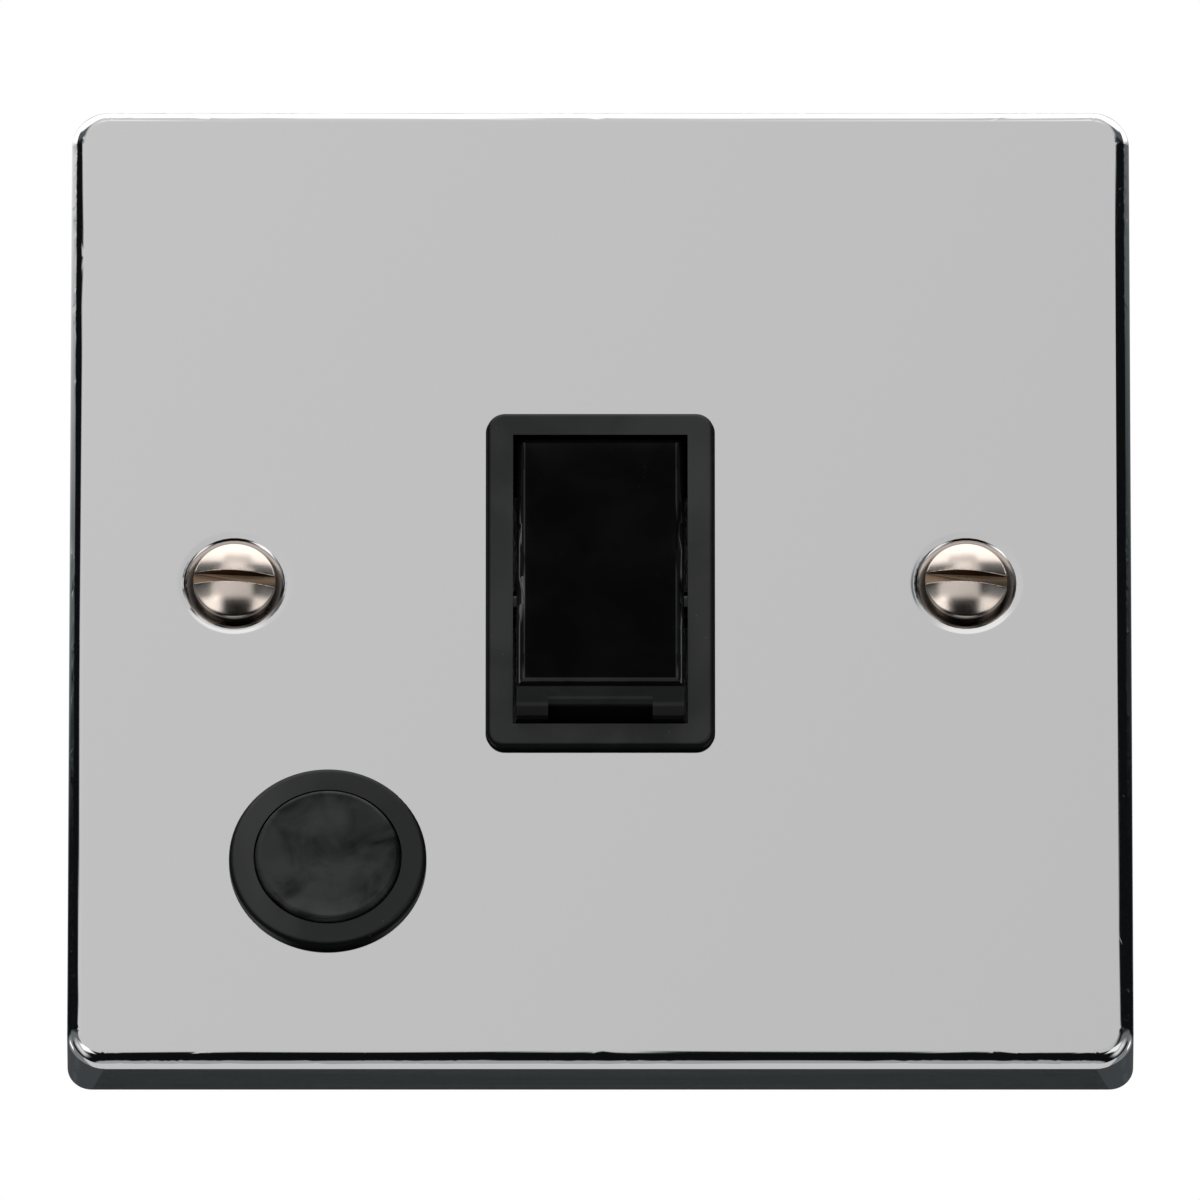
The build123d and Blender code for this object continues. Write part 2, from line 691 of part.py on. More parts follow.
# Both poles: plunger, spring, see-saw contact, strips and terminals
for pole_name, pole in poles.items():
    terminal_side = terminal_x if pole > 0 else -terminal_x
    save(make_plunger(pole), f"{pole_name}_plunger")
    save(make_plunger_spring(pole), f"{pole_name}_plunger_spring")
    save(make_moving_contact(pole), f"{pole_name}_moving_contact")
    save(make_moving_tip(pole), f"{pole_name}_moving_tip")
    save(make_strip(pole, -1, True), f"{pole_name}_supply_strip")
    save(make_strip(pole, 1, False), f"{pole_name}_load_strip")
    save(make_terminal(terminal_side, -terminal_z), f"{pole_name}_supply_terminal")
    save(make_terminal(terminal_side, terminal_z), f"{pole_name}_load_terminal")

with BuildPart() as fixed_tips:
    with BuildSketch(depth_plane(strip_front)):
        with Locations(*[(pole, tip_offset) for pole in poles.values()]):
            Circle(tip_diameter / 2)
    extrude(amount=fixed_tip_thickness)
save(fixed_tips.part, "fixed_tips")

# Terminal screws
terminal_screw_seat = floor_y + seat_gap
terminal_screw = make_slotted_screw(
    terminal_screw_diameter,
    terminal_screw_seat - wire_bore_y - wire_bore_diameter / 2,
    terminal_screw_head_diameter,
    terminal_screw_head_height,
    terminal_screw_slot_width,
    terminal_screw_slot_depth,
)
with BuildPart() as terminal_screws:
    with Locations(depth_plane(terminal_screw_seat)):
        with GridLocations(2 * terminal_x, 2 * terminal_z, 2, 2):
            add(terminal_screw.moved(Rotation(-90, 0, 0)))
save(terminal_screws.part, "terminal_screws")

# Flex outlet bush: flange in front of the plate, tube with snap fingers behind it
tube_radius = bush_tube_diameter / 2
bore_radius = bush_bore_diameter / 2
flange_radius = bush_flange_diameter / 2
seat_radius = bush_seat_diameter / 2
seat_depth = bush_seat_depth - bush_proud
lug_front = plate_sheet + clamp_thickness
tube_end = lug_front + bush_lug_height
with BuildPart() as flex_outlet_bush:
    with BuildSketch(turning_plane(outlet_x, plate_front, outlet_z)):
        with BuildLine():
            Polyline(
                (bore_radius, seat_depth),
                (seat_radius, seat_depth),
                (seat_radius, -bush_proud),
                (flange_radius, -bush_proud),
                (flange_radius, 0),
                (tube_radius, 0),
                (tube_radius, lug_front),
                (tube_radius + bush_lug_reach, lug_front),
                (tube_radius, tube_end),
                (bore_radius, tube_end),
                (bore_radius, seat_depth),
            )
        make_face()
    revolve(axis=depth_axis(outlet_x, outlet_z))
    front_rims = flex_outlet_bush.faces().sort_by(Axis.Y)[0].edges().sort_by(SortBy.RADIUS)
    fillet(front_rims[-1], bush_edge_radius)
    with BuildSketch(depth_plane(plate_front + tube_end)):
        with Locations((outlet_x, outlet_z)):
            Rectangle(bush_slot_width, bush_flange_diameter, rotation=45)
            Rectangle(bush_slot_width, bush_flange_diameter, rotation=-45)
    extrude(amount=tube_end - plate_sheet, mode=Mode.SUBTRACT)
save(flex_outlet_bush.part, "flex_outlet_bush")

# Blanking plug that closes the outlet
blank_radius = blank_diameter / 2
skirt_radius = bore_radius - blank_skirt_clearance
blank_front = -bush_proud - blank_rise
dish_radius = blank_radius - blank_rim_width
rim_centre = (blank_radius - blank_edge_radius, blank_front + blank_edge_radius)
rim_crest_radius = (blank_radius + dish_radius) / 2 - blank_edge_radius / 2
with BuildPart() as outlet_blank:
    with BuildSketch(turning_plane(outlet_x, plate_front, outlet_z)):
        with BuildLine():
            rim_turn = CenterArc(rim_centre, blank_edge_radius, 0, -90)
            dish = ThreePointArc(
                rim_turn @ 1,
                (rim_crest_radius, blank_front + blank_dish / 4),
                (dish_radius - blank_rim_width, blank_front + blank_dish),
            )
            Polyline(
                dish @ 1,
                (0, blank_front + blank_dish),
                (0, seat_depth),
                (skirt_radius - blank_skirt_wall, seat_depth),
                (skirt_radius - blank_skirt_wall, tube_end),
                (skirt_radius, tube_end),
                (skirt_radius, seat_depth),
                (blank_radius, seat_depth),
                rim_turn @ 0,
            )
        make_face()
    revolve(axis=depth_axis(outlet_x, outlet_z))
save(outlet_blank.part, "outlet_blank")

# Cord clamp: ring round the bush, saddle with two bosses, bar and screws
clamp_rear = plate_inner + clamp_thickness
boss_rear = clamp_rear + clamp_boss_height
clamp_top = clamp_z + clamp_bar_width / 2
with BuildPart() as cord_clamp_body:
    with BuildSketch(depth_plane(clamp_rear)):
        with Locations((outlet_x, outlet_z)):
            Circle(clamp_ring_radius)
        with Locations((outlet_x, (outlet_z + clamp_top) / 2)):
            Rectangle(clamp_width, clamp_top - outlet_z)
        with Locations((outlet_x, outlet_z)):
            Circle(tube_radius + aperture_clearance, mode=Mode.SUBTRACT)
    extrude(amount=clamp_thickness)
    with BuildSketch(depth_plane(boss_rear)):
        with Locations((outlet_x, clamp_z)):
            with GridLocations(clamp_boss_spacing, 0, 2, 1):
                Circle(clamp_boss_diameter / 2)
    extrude(amount=clamp_boss_height)
    with BuildSketch(depth_plane(clamp_rear + clamp_rib_height)):
        with Locations((outlet_x, clamp_z)):
            with GridLocations(0, clamp_rib_spacing, 1, 2):
                Rectangle(clamp_boss_spacing, clamp_rib_width)
    extrude(amount=clamp_rib_height)
    with BuildSketch(depth_plane(boss_rear)):
        with Locations((outlet_x, clamp_z)):
            with GridLocations(clamp_boss_spacing, 0, 2, 1):
                Circle(clamp_screw_diameter / 2 + thread_gap)
    extrude(amount=clamp_screw_grip + seat_gap, mode=Mode.SUBTRACT)
save(cord_clamp_body.part, "cord_clamp_body")

bar_rear = boss_rear + clamp_bar_thickness
with BuildPart() as cord_clamp_bar:
    with BuildSketch(depth_plane(bar_rear)):
        with Locations((outlet_x, clamp_z)):
            SlotOverall(clamp_bar_length, clamp_bar_width)
            with GridLocations(clamp_boss_spacing, 0, 2, 1):
                Circle(clamp_screw_diameter / 2 + stud_hole_clearance, mode=Mode.SUBTRACT)
    extrude(amount=clamp_bar_thickness)
    with BuildSketch(depth_plane(boss_rear)):
        with Locations((outlet_x, clamp_z)):
            Rectangle(clamp_boss_spacing - clamp_boss_diameter, clamp_rib_width)
    extrude(amount=clamp_rib_height)
save(cord_clamp_bar.part, "cord_clamp_bar")

clamp_screw = make_slotted_screw(
    clamp_screw_diameter,
    clamp_bar_thickness + clamp_screw_grip,
    clamp_screw_head_diameter,
    clamp_screw_head_height,
    clamp_screw_slot_width,
    clamp_screw_slot_depth,
)
with BuildPart() as cord_clamp_screws:
    with Locations(depth_plane(bar_rear)):
        with Locations((outlet_x, clamp_z)):
            with GridLocations(clamp_boss_spacing, 0, 2, 1):
                add(clamp_screw.moved(Rotation(-90, 0, 0)))
save(cord_clamp_screws.part, "cord_clamp_screws")

# Earth block: tag under the stud's nut, pillar with a wire bore along Z
earth_rear = plate_inner + earth_block_height
earth_bore_y = plate_inner + terminal_wall + wire_bore_diameter / 2
with BuildPart() as earth_terminal:
    tag_start = earth_stud_x - nut_reach
    tag_end = earth_wire_x + earth_block_width / 2
    with BuildSketch(depth_plane(flange_rear)):
        with Locations(((tag_start + tag_end) / 2, outlet_z)):
            Rectangle(tag_end - tag_start, earth_length)
        with Locations((earth_stud_x, outlet_z)):
            Circle(stud_diameter / 2 + stud_hole_clearance, mode=Mode.SUBTRACT)
    extrude(amount=flange_thickness)
    with BuildSketch(depth_plane(earth_rear)):
        with Locations((earth_wire_x, outlet_z)):
            Rectangle(earth_block_width, earth_length)
    extrude(amount=earth_block_height)
    with BuildSketch(Plane.XY.offset(outlet_z - earth_length / 2)):
        with Locations((earth_wire_x, earth_bore_y)):
            Circle(wire_bore_diameter / 2)
    extrude(amount=earth_length, mode=Mode.SUBTRACT)
    with BuildSketch(depth_plane(earth_rear)):
        with Locations((earth_wire_x, outlet_z)):
            Circle(terminal_screw_diameter / 2 + thread_gap)
    extrude(amount=earth_rear - earth_bore_y, mode=Mode.SUBTRACT)
save(earth_terminal.part, "earth_terminal")

earth_screw_solid = make_slotted_screw(
    terminal_screw_diameter,
    earth_rear + seat_gap - earth_bore_y - wire_bore_diameter / 2,
    terminal_screw_head_diameter,
    terminal_screw_head_height,
    terminal_screw_slot_width,
    terminal_screw_slot_depth,
)
with BuildPart() as earth_screw:
    with Locations((earth_wire_x, earth_rear + seat_gap, outlet_z)):
        add(earth_screw_solid)
save(earth_screw.part, "earth_screw")
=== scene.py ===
import json
from math import asin, cos, pi, radians, sin, sqrt

import bmesh
import bpy
from mathutils import Matrix, Vector

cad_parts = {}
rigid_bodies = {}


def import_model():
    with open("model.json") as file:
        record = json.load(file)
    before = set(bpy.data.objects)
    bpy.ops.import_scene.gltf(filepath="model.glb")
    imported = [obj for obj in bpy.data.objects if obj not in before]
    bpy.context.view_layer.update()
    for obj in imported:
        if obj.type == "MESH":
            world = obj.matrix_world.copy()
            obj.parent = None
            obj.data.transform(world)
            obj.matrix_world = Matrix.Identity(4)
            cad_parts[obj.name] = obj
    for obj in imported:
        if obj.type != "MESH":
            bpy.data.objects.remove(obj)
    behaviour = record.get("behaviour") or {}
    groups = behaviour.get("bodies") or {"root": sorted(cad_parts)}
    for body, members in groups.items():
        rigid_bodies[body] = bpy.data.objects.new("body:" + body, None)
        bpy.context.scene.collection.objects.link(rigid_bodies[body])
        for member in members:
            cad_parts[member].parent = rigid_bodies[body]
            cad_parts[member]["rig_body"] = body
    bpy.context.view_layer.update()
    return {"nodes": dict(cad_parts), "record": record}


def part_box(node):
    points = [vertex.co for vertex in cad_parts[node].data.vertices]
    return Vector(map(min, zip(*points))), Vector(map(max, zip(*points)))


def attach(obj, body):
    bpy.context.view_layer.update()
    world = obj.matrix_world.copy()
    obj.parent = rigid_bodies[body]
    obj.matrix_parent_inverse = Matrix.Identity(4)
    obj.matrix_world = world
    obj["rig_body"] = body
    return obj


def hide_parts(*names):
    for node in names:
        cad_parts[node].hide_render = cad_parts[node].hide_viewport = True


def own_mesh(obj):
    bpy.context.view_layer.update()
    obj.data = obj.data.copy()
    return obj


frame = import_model()

bl_info = {
    "name": "Double Pole Switch with Flex Outlet",
    "version": (1, 0, 0),
    "blender": (4, 5, 0),
    "location": "View3D > Sidebar > Switch",
    "description": "Threads, nuts, springs, finishes and a studio stage for a chrome rocker switch",
    "category": "Object",
}

MM = 0.001
INTO_WALL = Vector((0, 1, 0))

# Thread form, in shares of the pitch
THREAD_ROOT_DEPTH = 0.61
THREAD_CORE_DEPTH = 0.6
THREAD_CREST = (0.38, 0.5)
THREAD_FOOT = 0.88

# Segments in a turn of a thread or a spring
STEPS_A_TURN = 24

SHARP_ANGLE = radians(32)
MERGE_DISTANCE = 0.0001 * MM


class SwitchFastenerSettings(bpy.types.PropertyGroup):
    """Sizes of the fasteners that get threads and slots here."""

    fixing_spacing: bpy.props.FloatProperty(
        name="Fixing spacing", description="Distance between the two fixing screws",
        default=60.3 * MM, unit="LENGTH", subtype="DISTANCE")
    head_diameter: bpy.props.FloatProperty(
        name="Head diameter", description="Rim of the raised countersunk head",
        default=6.85 * MM, unit="LENGTH", subtype="DISTANCE")
    head_land: bpy.props.FloatProperty(
        name="Head land", description="Height of the straight rim under the dome",
        default=1.2 * MM, unit="LENGTH", subtype="DISTANCE")
    rim_radius: bpy.props.FloatProperty(
        name="Rim radius", description="Round between the dome and the straight rim",
        default=0.4 * MM, unit="LENGTH", subtype="DISTANCE")
    dome_height: bpy.props.FloatProperty(
        name="Dome height", description="Rise of the dome over its rim",
        default=0.9 * MM, unit="LENGTH", subtype="DISTANCE")
    fixing_length: bpy.props.FloatProperty(
        name="Fixing length", description="Length of the fixing screws behind the rim of the head",
        default=24.4 * MM, unit="LENGTH", subtype="DISTANCE")
    slot_width: bpy.props.FloatProperty(
        name="Slot width", description="Width of the driver slot",
        default=1.0 * MM, unit="LENGTH", subtype="DISTANCE")
    slot_depth: bpy.props.FloatProperty(
        name="Slot depth", description="Depth of the driver slot from the top of the dome",
        default=1.0 * MM, unit="LENGTH", subtype="DISTANCE")
    slot_tilt: bpy.props.FloatProperty(
        name="Slot tilt", description="Turn of the slots away from level",
        default=radians(3), unit="ROTATION", subtype="ANGLE")
    neck_diameter: bpy.props.FloatProperty(
        name="Neck diameter", description="Plain neck between head and thread",
        default=3.1 * MM, unit="LENGTH", subtype="DISTANCE")
    neck_length: bpy.props.FloatProperty(
        name="Neck length", description="Depth of the end of the neck behind the rim",
        default=2.2685 * MM, unit="LENGTH", subtype="DISTANCE")
    fixing_diameter: bpy.props.FloatProperty(
        name="Fixing thread", description="Outside diameter of the fixing screws' thread",
        default=3.5 * MM, unit="LENGTH", subtype="DISTANCE")
    fixing_pitch: bpy.props.FloatProperty(
        name="Fixing pitch", description="Pitch of the fixing screws' thread",
        default=0.6 * MM, unit="LENGTH", subtype="DISTANCE")
    stud_diameter: bpy.props.FloatProperty(
        name="Stud thread", description="Outside diameter of the weld studs' thread",
        default=3.0 * MM, unit="LENGTH", subtype="DISTANCE")
    stud_pitch: bpy.props.FloatProperty(
        name="Stud pitch", description="Pitch of the weld studs' thread",
        default=0.5 * MM, unit="LENGTH", subtype="DISTANCE")
    nut_across_flats: bpy.props.FloatProperty(
        name="Nut across flats", description="Width of the nuts on the weld studs",
        default=5.5 * MM, unit="LENGTH", subtype="DISTANCE")


class SwitchSpringSettings(bpy.types.PropertyGroup):
    """Sizes of the two compression springs behind the plungers."""

    wire: bpy.props.FloatProperty(
        name="Spring wire", description="Diameter of the wire",
        default=0.36 * MM, unit="LENGTH", subtype="DISTANCE")
    mean_diameter: bpy.props.FloatProperty(
        name="Mean diameter", description="Diameter of the coil from wire centre to wire centre",
        default=1.8 * MM, unit="LENGTH", subtype="DISTANCE")
    turns: bpy.props.IntProperty(
        name="Open turns", description="Turns between the two closed ones at the ends", default=5)
    closed_pitch: bpy.props.FloatProperty(
        name="Closed pitch", description="Rise of the closed turn at each end",
        default=0.42 * MM, unit="LENGTH", subtype="DISTANCE")
    pole_spacing: bpy.props.FloatProperty(
        name="Pole spacing", description="Distance between the two plungers",
        default=7.2 * MM, unit="LENGTH", subtype="DISTANCE")
    pivot_depth: bpy.props.FloatProperty(
        name="Pivot depth", description="Place of the rocker's pivot along the axis into the wall",
        default=-0.15 * MM, unit="LENGTH", subtype="DISTANCE")
    seat: bpy.props.FloatProperty(
        name="Seat", description="End of the sleeve's bore, from the pivot towards the room",
        default=3.4 * MM, unit="LENGTH", subtype="DISTANCE")
    length: bpy.props.FloatProperty(
        name="Spring length", description="Room between the seat and the plunger's shoulder at rest",
        default=6.6 * MM, unit="LENGTH", subtype="DISTANCE")
    travel: bpy.props.FloatProperty(
        name="Travel", description="How far the plunger pushes the spring in",
        default=0.8 * MM, unit="LENGTH", subtype="DISTANCE")
    tilt: bpy.props.FloatProperty(
        name="Rest tilt", description="Tilt of the sleeves when the rocker is at rest",
        default=radians(8.8), unit="ROTATION", subtype="ANGLE")


class SwitchStageSettings(bpy.types.PropertyGroup):
    """Camera and studio round the switch."""

    camera_distance: bpy.props.FloatProperty(
        name="Camera distance", description="From the camera to the front of the plate",
        default=4.0, unit="LENGTH", subtype="DISTANCE")
    camera_lens: bpy.props.FloatProperty(
        name="Lens", description="Focal length in millimetres on a 36 mm sensor", default=1456.8)
    camera_elevation: bpy.props.FloatProperty(
        name="Elevation", description="Camera's angle over the horizon; below zero it looks up",
        default=radians(-26), unit="ROTATION", subtype="ANGLE")
    aim_side: bpy.props.FloatProperty(
        name="Aim side", description="How far to the right of the plate's centre the camera aims",
        default=-0.03 * MM, unit="LENGTH", subtype="DISTANCE")
    aim_drop: bpy.props.FloatProperty(
        name="Aim drop", description="How far below the plate's centre the camera aims",
        default=1.54 * MM, unit="LENGTH", subtype="DISTANCE")
    tent_radius: bpy.props.FloatProperty(
        name="Tent radius", description="Radius of the light tent that the metal reflects",
        default=0.5, unit="LENGTH", subtype="DISTANCE")
    floor_size: bpy.props.FloatProperty(
        name="Floor size", description="Side of the pale floor",
        default=8.0, unit="LENGTH", subtype="DISTANCE")


def srgb(code):
    """Linear colour with alpha from an sRGB hex code."""
    parts = [int(code[i:i + 2], 16) / 255 for i in (1, 3, 5)]
    return (*[c / 12.92 if c <= 0.04045 else ((c + 0.055) / 1.055) ** 2.4 for c in parts], 1.0)


def add(tree, kind, inputs, **settings):
    """Adds a node, sets its properties, then sets or links its inputs."""
    node = tree.nodes.new(kind)
    for name, value in settings.items():
        setattr(node, name, value)
    for name, value in inputs.items():
        if isinstance(value, bpy.types.NodeSocket):
            tree.links.new(value, node.inputs[name])
        else:
            node.inputs[name].default_value = value
    return node


def new_material(name):
    """Empty node material with its output, and its Object coordinates."""
    material = bpy.data.materials.new(name)
    material.use_nodes = True
    tree = material.node_tree
    tree.nodes.clear()
    place = add(tree, "ShaderNodeTexCoord", {}).outputs["Object"]
    return material, tree, place


def finish_material(tree, shader):
    add(tree, "ShaderNodeOutputMaterial", {"Surface": shader.outputs[0]})


def make_metal(name, colour, stain, roughness, rough_spread, grain_mm, bump_mm):
    """Plated or rolled metal: blotches of stain, roughness that wanders and a fine surface grain."""
    blotch_mm = 4
    material, tree, place = new_material(name)
    blotch = add(tree, "ShaderNodeTexNoise", {
        "Vector": place, "Scale": 1 / (blotch_mm * MM), "Detail": 6.0, "Roughness": 0.62})
    grain = add(tree, "ShaderNodeTexNoise", {"Vector": place, "Scale": 1 / (grain_mm * MM), "Detail": 3.0})
    tone = add(tree, "ShaderNodeMix", {"Factor": blotch.outputs["Fac"], "A": srgb(colour), "B": srgb(stain)},
               data_type="RGBA")
    polish = add(tree, "ShaderNodeMapRange", {
        "Value": grain.outputs["Fac"], "From Min": 0.3, "From Max": 0.7,
        "To Min": roughness - rough_spread, "To Max": roughness + rough_spread})
    relief = add(tree, "ShaderNodeBump", {
        "Height": grain.outputs["Fac"], "Strength": 0.5, "Distance": bump_mm * MM})
    finish_material(tree, add(tree, "ShaderNodeBsdfPrincipled", {
        "Base Color": tone.outputs["Result"], "Metallic": 1.0, "Roughness": polish.outputs["Result"],
        "Normal": relief.outputs["Normal"]}))
    return material


def make_plastic(name, colour, shade, dust, roughness, rough_spread, sheen, flow_mm, grain_mm, bump_mm,
                 sides=1.0):
    """Moulded plastic: flow marks in its tone, gloss and sheen, an eroded tool texture and a little dust.

    Walls that turn away from the front keep only a share, sides, of the sheen: painted shade that gives them
    dark outlines.
    """
    speck_mm = 1.6
    material, tree, place = new_material(name)
    flow = add(tree, "ShaderNodeTexNoise", {
        "Vector": place, "Scale": 1 / (flow_mm * MM), "Detail": 3.0, "Distortion": 0.8})
    patch = add(tree, "ShaderNodeMapRange", {
        "Value": flow.outputs["Fac"], "From Min": 0.35, "From Max": 0.65}).outputs["Result"]
    grain = add(tree, "ShaderNodeTexNoise", {"Vector": place, "Scale": 1 / (grain_mm * MM), "Detail": 2.0})
    specks = add(tree, "ShaderNodeTexVoronoi", {
        "Vector": place, "Scale": 1 / (speck_mm * MM), "Randomness": 1.0})
    speck = add(tree, "ShaderNodeMapRange", {
        "Value": specks.outputs["Distance"], "From Min": 0.05, "From Max": 0.02, "To Max": 0.35})
    tone = add(tree, "ShaderNodeMix", {
        "Factor": patch, "A": srgb(colour), "B": srgb(shade)}, data_type="RGBA")
    tone = add(tree, "ShaderNodeMix", {
        "Factor": speck.outputs["Result"], "A": tone.outputs["Result"], "B": srgb(dust)}, data_type="RGBA")
    gloss = add(tree, "ShaderNodeMapRange", {
        "Value": patch, "To Min": roughness - rough_spread, "To Max": roughness + rough_spread})
    shine = add(tree, "ShaderNodeMapRange", {
        "Value": patch, "To Min": sheen[0], "To Max": sheen[1]}).outputs["Result"]
    # Painted shade: walls that turn sideways lose most of their sheen and read as dark outlines
    if sides < 1.0:
        normal = add(tree, "ShaderNodeTexCoord", {}).outputs["Normal"]
        depth = add(tree, "ShaderNodeSeparateXYZ", {"Vector": normal}).outputs["Y"]
        facing = add(tree, "ShaderNodeMath", {0: depth}, operation="ABSOLUTE").outputs[0]
        share = add(tree, "ShaderNodeMapRange", {
            "Value": facing, "From Min": 0.8, "From Max": 0.97, "To Min": sides}).outputs["Result"]
        shine = add(tree, "ShaderNodeMath", {0: shine, 1: share}, operation="MULTIPLY").outputs[0]
    relief = add(tree, "ShaderNodeBump", {
        "Height": grain.outputs["Fac"], "Strength": 0.5, "Distance": bump_mm * MM})
    finish_material(tree, add(tree, "ShaderNodeBsdfPrincipled", {
        "Base Color": tone.outputs["Result"], "Roughness": gloss.outputs["Result"], "IOR": 1.5,
        "Specular IOR Level": shine, "Normal": relief.outputs["Normal"]}))
    return material


def make_chrome(name, spacing):
    """Bright chrome over pressed and polished steel: a near mirror with a faint wave and a few pits.

    Both countersinks, which lie spacing apart, get painted shade: a dark colour is mixed in round them.
    Polishing softens the outer edge of their rounded lips, which gives a white arc below each screw.
    """
    wave_mm, pit_mm, haze_mm = 22, 19, 0.5
    wave_depth = 0.05 * MM
    countersink_shade_from, countersink_shade_to = 4.0 * MM, 3.6 * MM
    lip_from, lip_to, lip_depth = 4.2 * MM, 4.75 * MM, 0.06 * MM
    material, tree, place = new_material(name)
    axes = add(tree, "ShaderNodeSeparateXYZ", {"Vector": place})
    aside = add(tree, "ShaderNodeMath", {0: axes.outputs["X"]}, operation="ABSOLUTE")
    across = add(tree, "ShaderNodeCombineXYZ", {"X": aside.outputs[0], "Z": axes.outputs["Z"]})
    away = add(tree, "ShaderNodeVectorMath", {
        0: across.outputs["Vector"], 1: (spacing / 2, 0, 0)}, operation="DISTANCE").outputs["Value"]
    # Painted shade: the chrome turns dark grey-brown round each countersink
    countersink_shade = add(tree, "ShaderNodeMapRange", {
        "Value": away, "From Min": countersink_shade_from, "From Max": countersink_shade_to, "To Max": 0.65})
    wave = add(tree, "ShaderNodeTexNoise", {"Vector": place, "Scale": 1 / (wave_mm * MM), "Detail": 1.0})
    pits = add(tree, "ShaderNodeTexVoronoi", {"Vector": place, "Scale": 1 / (pit_mm * MM), "Randomness": 1.0})
    pit = add(tree, "ShaderNodeMapRange", {
        "Value": pits.outputs["Distance"], "From Min": 0.011, "From Max": 0.006, "To Max": 0.7})
    haze = add(tree, "ShaderNodeTexNoise", {"Vector": place, "Scale": 1 / (haze_mm * MM), "Detail": 4.0})
    polish = add(tree, "ShaderNodeMapRange", {
        "Value": haze.outputs["Fac"], "From Min": 0.3, "From Max": 0.7, "To Min": 0.05, "To Max": 0.09})
    tone = add(tree, "ShaderNodeMix", {
        "Factor": pit.outputs["Result"], "A": srgb("#c5c4c4"), "B": srgb("#5a5a58")}, data_type="RGBA")
    tone = add(tree, "ShaderNodeMix", {
        "Factor": countersink_shade.outputs["Result"], "A": tone.outputs["Result"], "B": srgb("#2c2a29")},
        data_type="RGBA")
    relief = add(tree, "ShaderNodeBump", {
        "Height": wave.outputs["Fac"], "Strength": 0.2, "Distance": wave_depth})
    roll = add(tree, "ShaderNodeMapRange", {
        "Value": away, "From Min": lip_from, "From Max": lip_to}, interpolation_type="SMOOTHSTEP")
    rolled = add(tree, "ShaderNodeBump", {
        "Height": roll.outputs["Result"], "Strength": 1.0, "Distance": lip_depth,
        "Normal": relief.outputs["Normal"]})
    finish_material(tree, add(tree, "ShaderNodeBsdfPrincipled", {
        "Base Color": tone.outputs["Result"], "Metallic": 1.0, "Roughness": polish.outputs["Result"],
        "Normal": rolled.outputs["Normal"]}))
    return material


def make_finishes(sizes):
    """One material for each slot of the record, and those of the blanking plug and the painted shade in the
    driver slots.
    """
    return {
        # Cool near mirror with soft waves, as on a pressed and plated sheet
        "chrome_plate": make_chrome("Chrome Electroplate on Polished Steel", sizes.fixing_spacing),
        # Warm grey, softer than the plate, so that the heads read as another metal
        "nickel_screw": make_metal(
            "Bright Nickel Plate on Turned Brass", "#d0c5bd", "#bfb2a7",
            roughness=0.2, rough_spread=0.05, grain_mm=0.09, bump_mm=0.003),
        # Painted shade in the driver slots: a darker, browner metal than on the heads
        "painted_slot_shade": make_metal(
            "Dark Nickel with Painted Slot Shade", "#97836f", "#735e4c",
            roughness=0.32, rough_spread=0.06, grain_mm=0.09, bump_mm=0.004),
        # Bluish and blotchy, like zinc on cheap fasteners
        "zinc_steel": make_metal(
            "Barrel Zinc Plate on Steel", "#b9bec4", "#8f979f",
            roughness=0.34, rough_spread=0.08, grain_mm=0.15, bump_mm=0.006),
        # Fine spark-eroded texture that breaks the highlights, with painted shade, by less sheen, on walls
        # that turn away, as dark outlines
        "black_satin": make_plastic(
            "Satin Black Urea Moulding", "#121313", "#181918", dust="#6a6a6a", roughness=0.38,
            rough_spread=0.05, sheen=(0.26, 0.47), flow_mm=13, grain_mm=0.11, bump_mm=0.004, sides=0.12),
        # Deep black with tight highlights
        "black_gloss": make_plastic(
            "Polished Black Polycarbonate Moulding", "#090909", "#0c0c0c", dust="#303030", roughness=0.05,
            rough_spread=0.01, sheen=(0.22, 0.28), flow_mm=6, grain_mm=0.4, bump_mm=0.0003),
        # Soft plug with an uneven face, so that its sheen is patchy
        "outlet_blank": make_plastic(
            "Black Rubber Moulding", "#0e0f0f", "#1d1e1e", dust="#4a4a4a", roughness=0.38, rough_spread=0.12,
            sheen=(0.1, 0.42), flow_mm=4, grain_mm=0.2, bump_mm=0.006),
        # Slightly warm white with a silky shine
        "white_moulding": make_plastic(
            "White Urea Moulding", "#dddad2", "#d3cfc5", dust="#b8b3a8", roughness=0.36, rough_spread=0.05,
            sheen=(0.4, 0.5), flow_mm=8, grain_mm=0.3, bump_mm=0.004),
        # Milky cream of unfilled nylon
        "natural_nylon": make_plastic(
            "Natural Nylon Moulding", "#e2d9bf", "#d6cbab", dust="#c9bea0", roughness=0.42, rough_spread=0.04,
            sheen=(0.35, 0.5), flow_mm=5, grain_mm=0.25, bump_mm=0.004),
        # Dark drawn wire
        "spring_steel": make_metal(
            "Drawn Spring Steel Wire", "#a3a3a6", "#7d7b79",
            roughness=0.3, rough_spread=0.06, grain_mm=0.05, bump_mm=0.003),
        # Rolled strip with a pink tone and brown handling marks
        "contact_copper": make_metal(
            "Rolled Copper Strip", "#d08a63", "#a8643f",
            roughness=0.3, rough_spread=0.08, grain_mm=0.12, bump_mm=0.004),
        # Pale, slightly dull rivet heads
        "contact_silver": make_metal(
            "Pressed Silver Alloy", "#dedad2", "#b9b3a8",
            roughness=0.28, rough_spread=0.06, grain_mm=0.1, bump_mm=0.003),
        # Yellow metal from bar, dulled in places
        "brass": make_metal(
            "Machined Brass Bar", "#d6b063", "#a98440",
            roughness=0.26, rough_spread=0.07, grain_mm=0.12, bump_mm=0.004),
    }


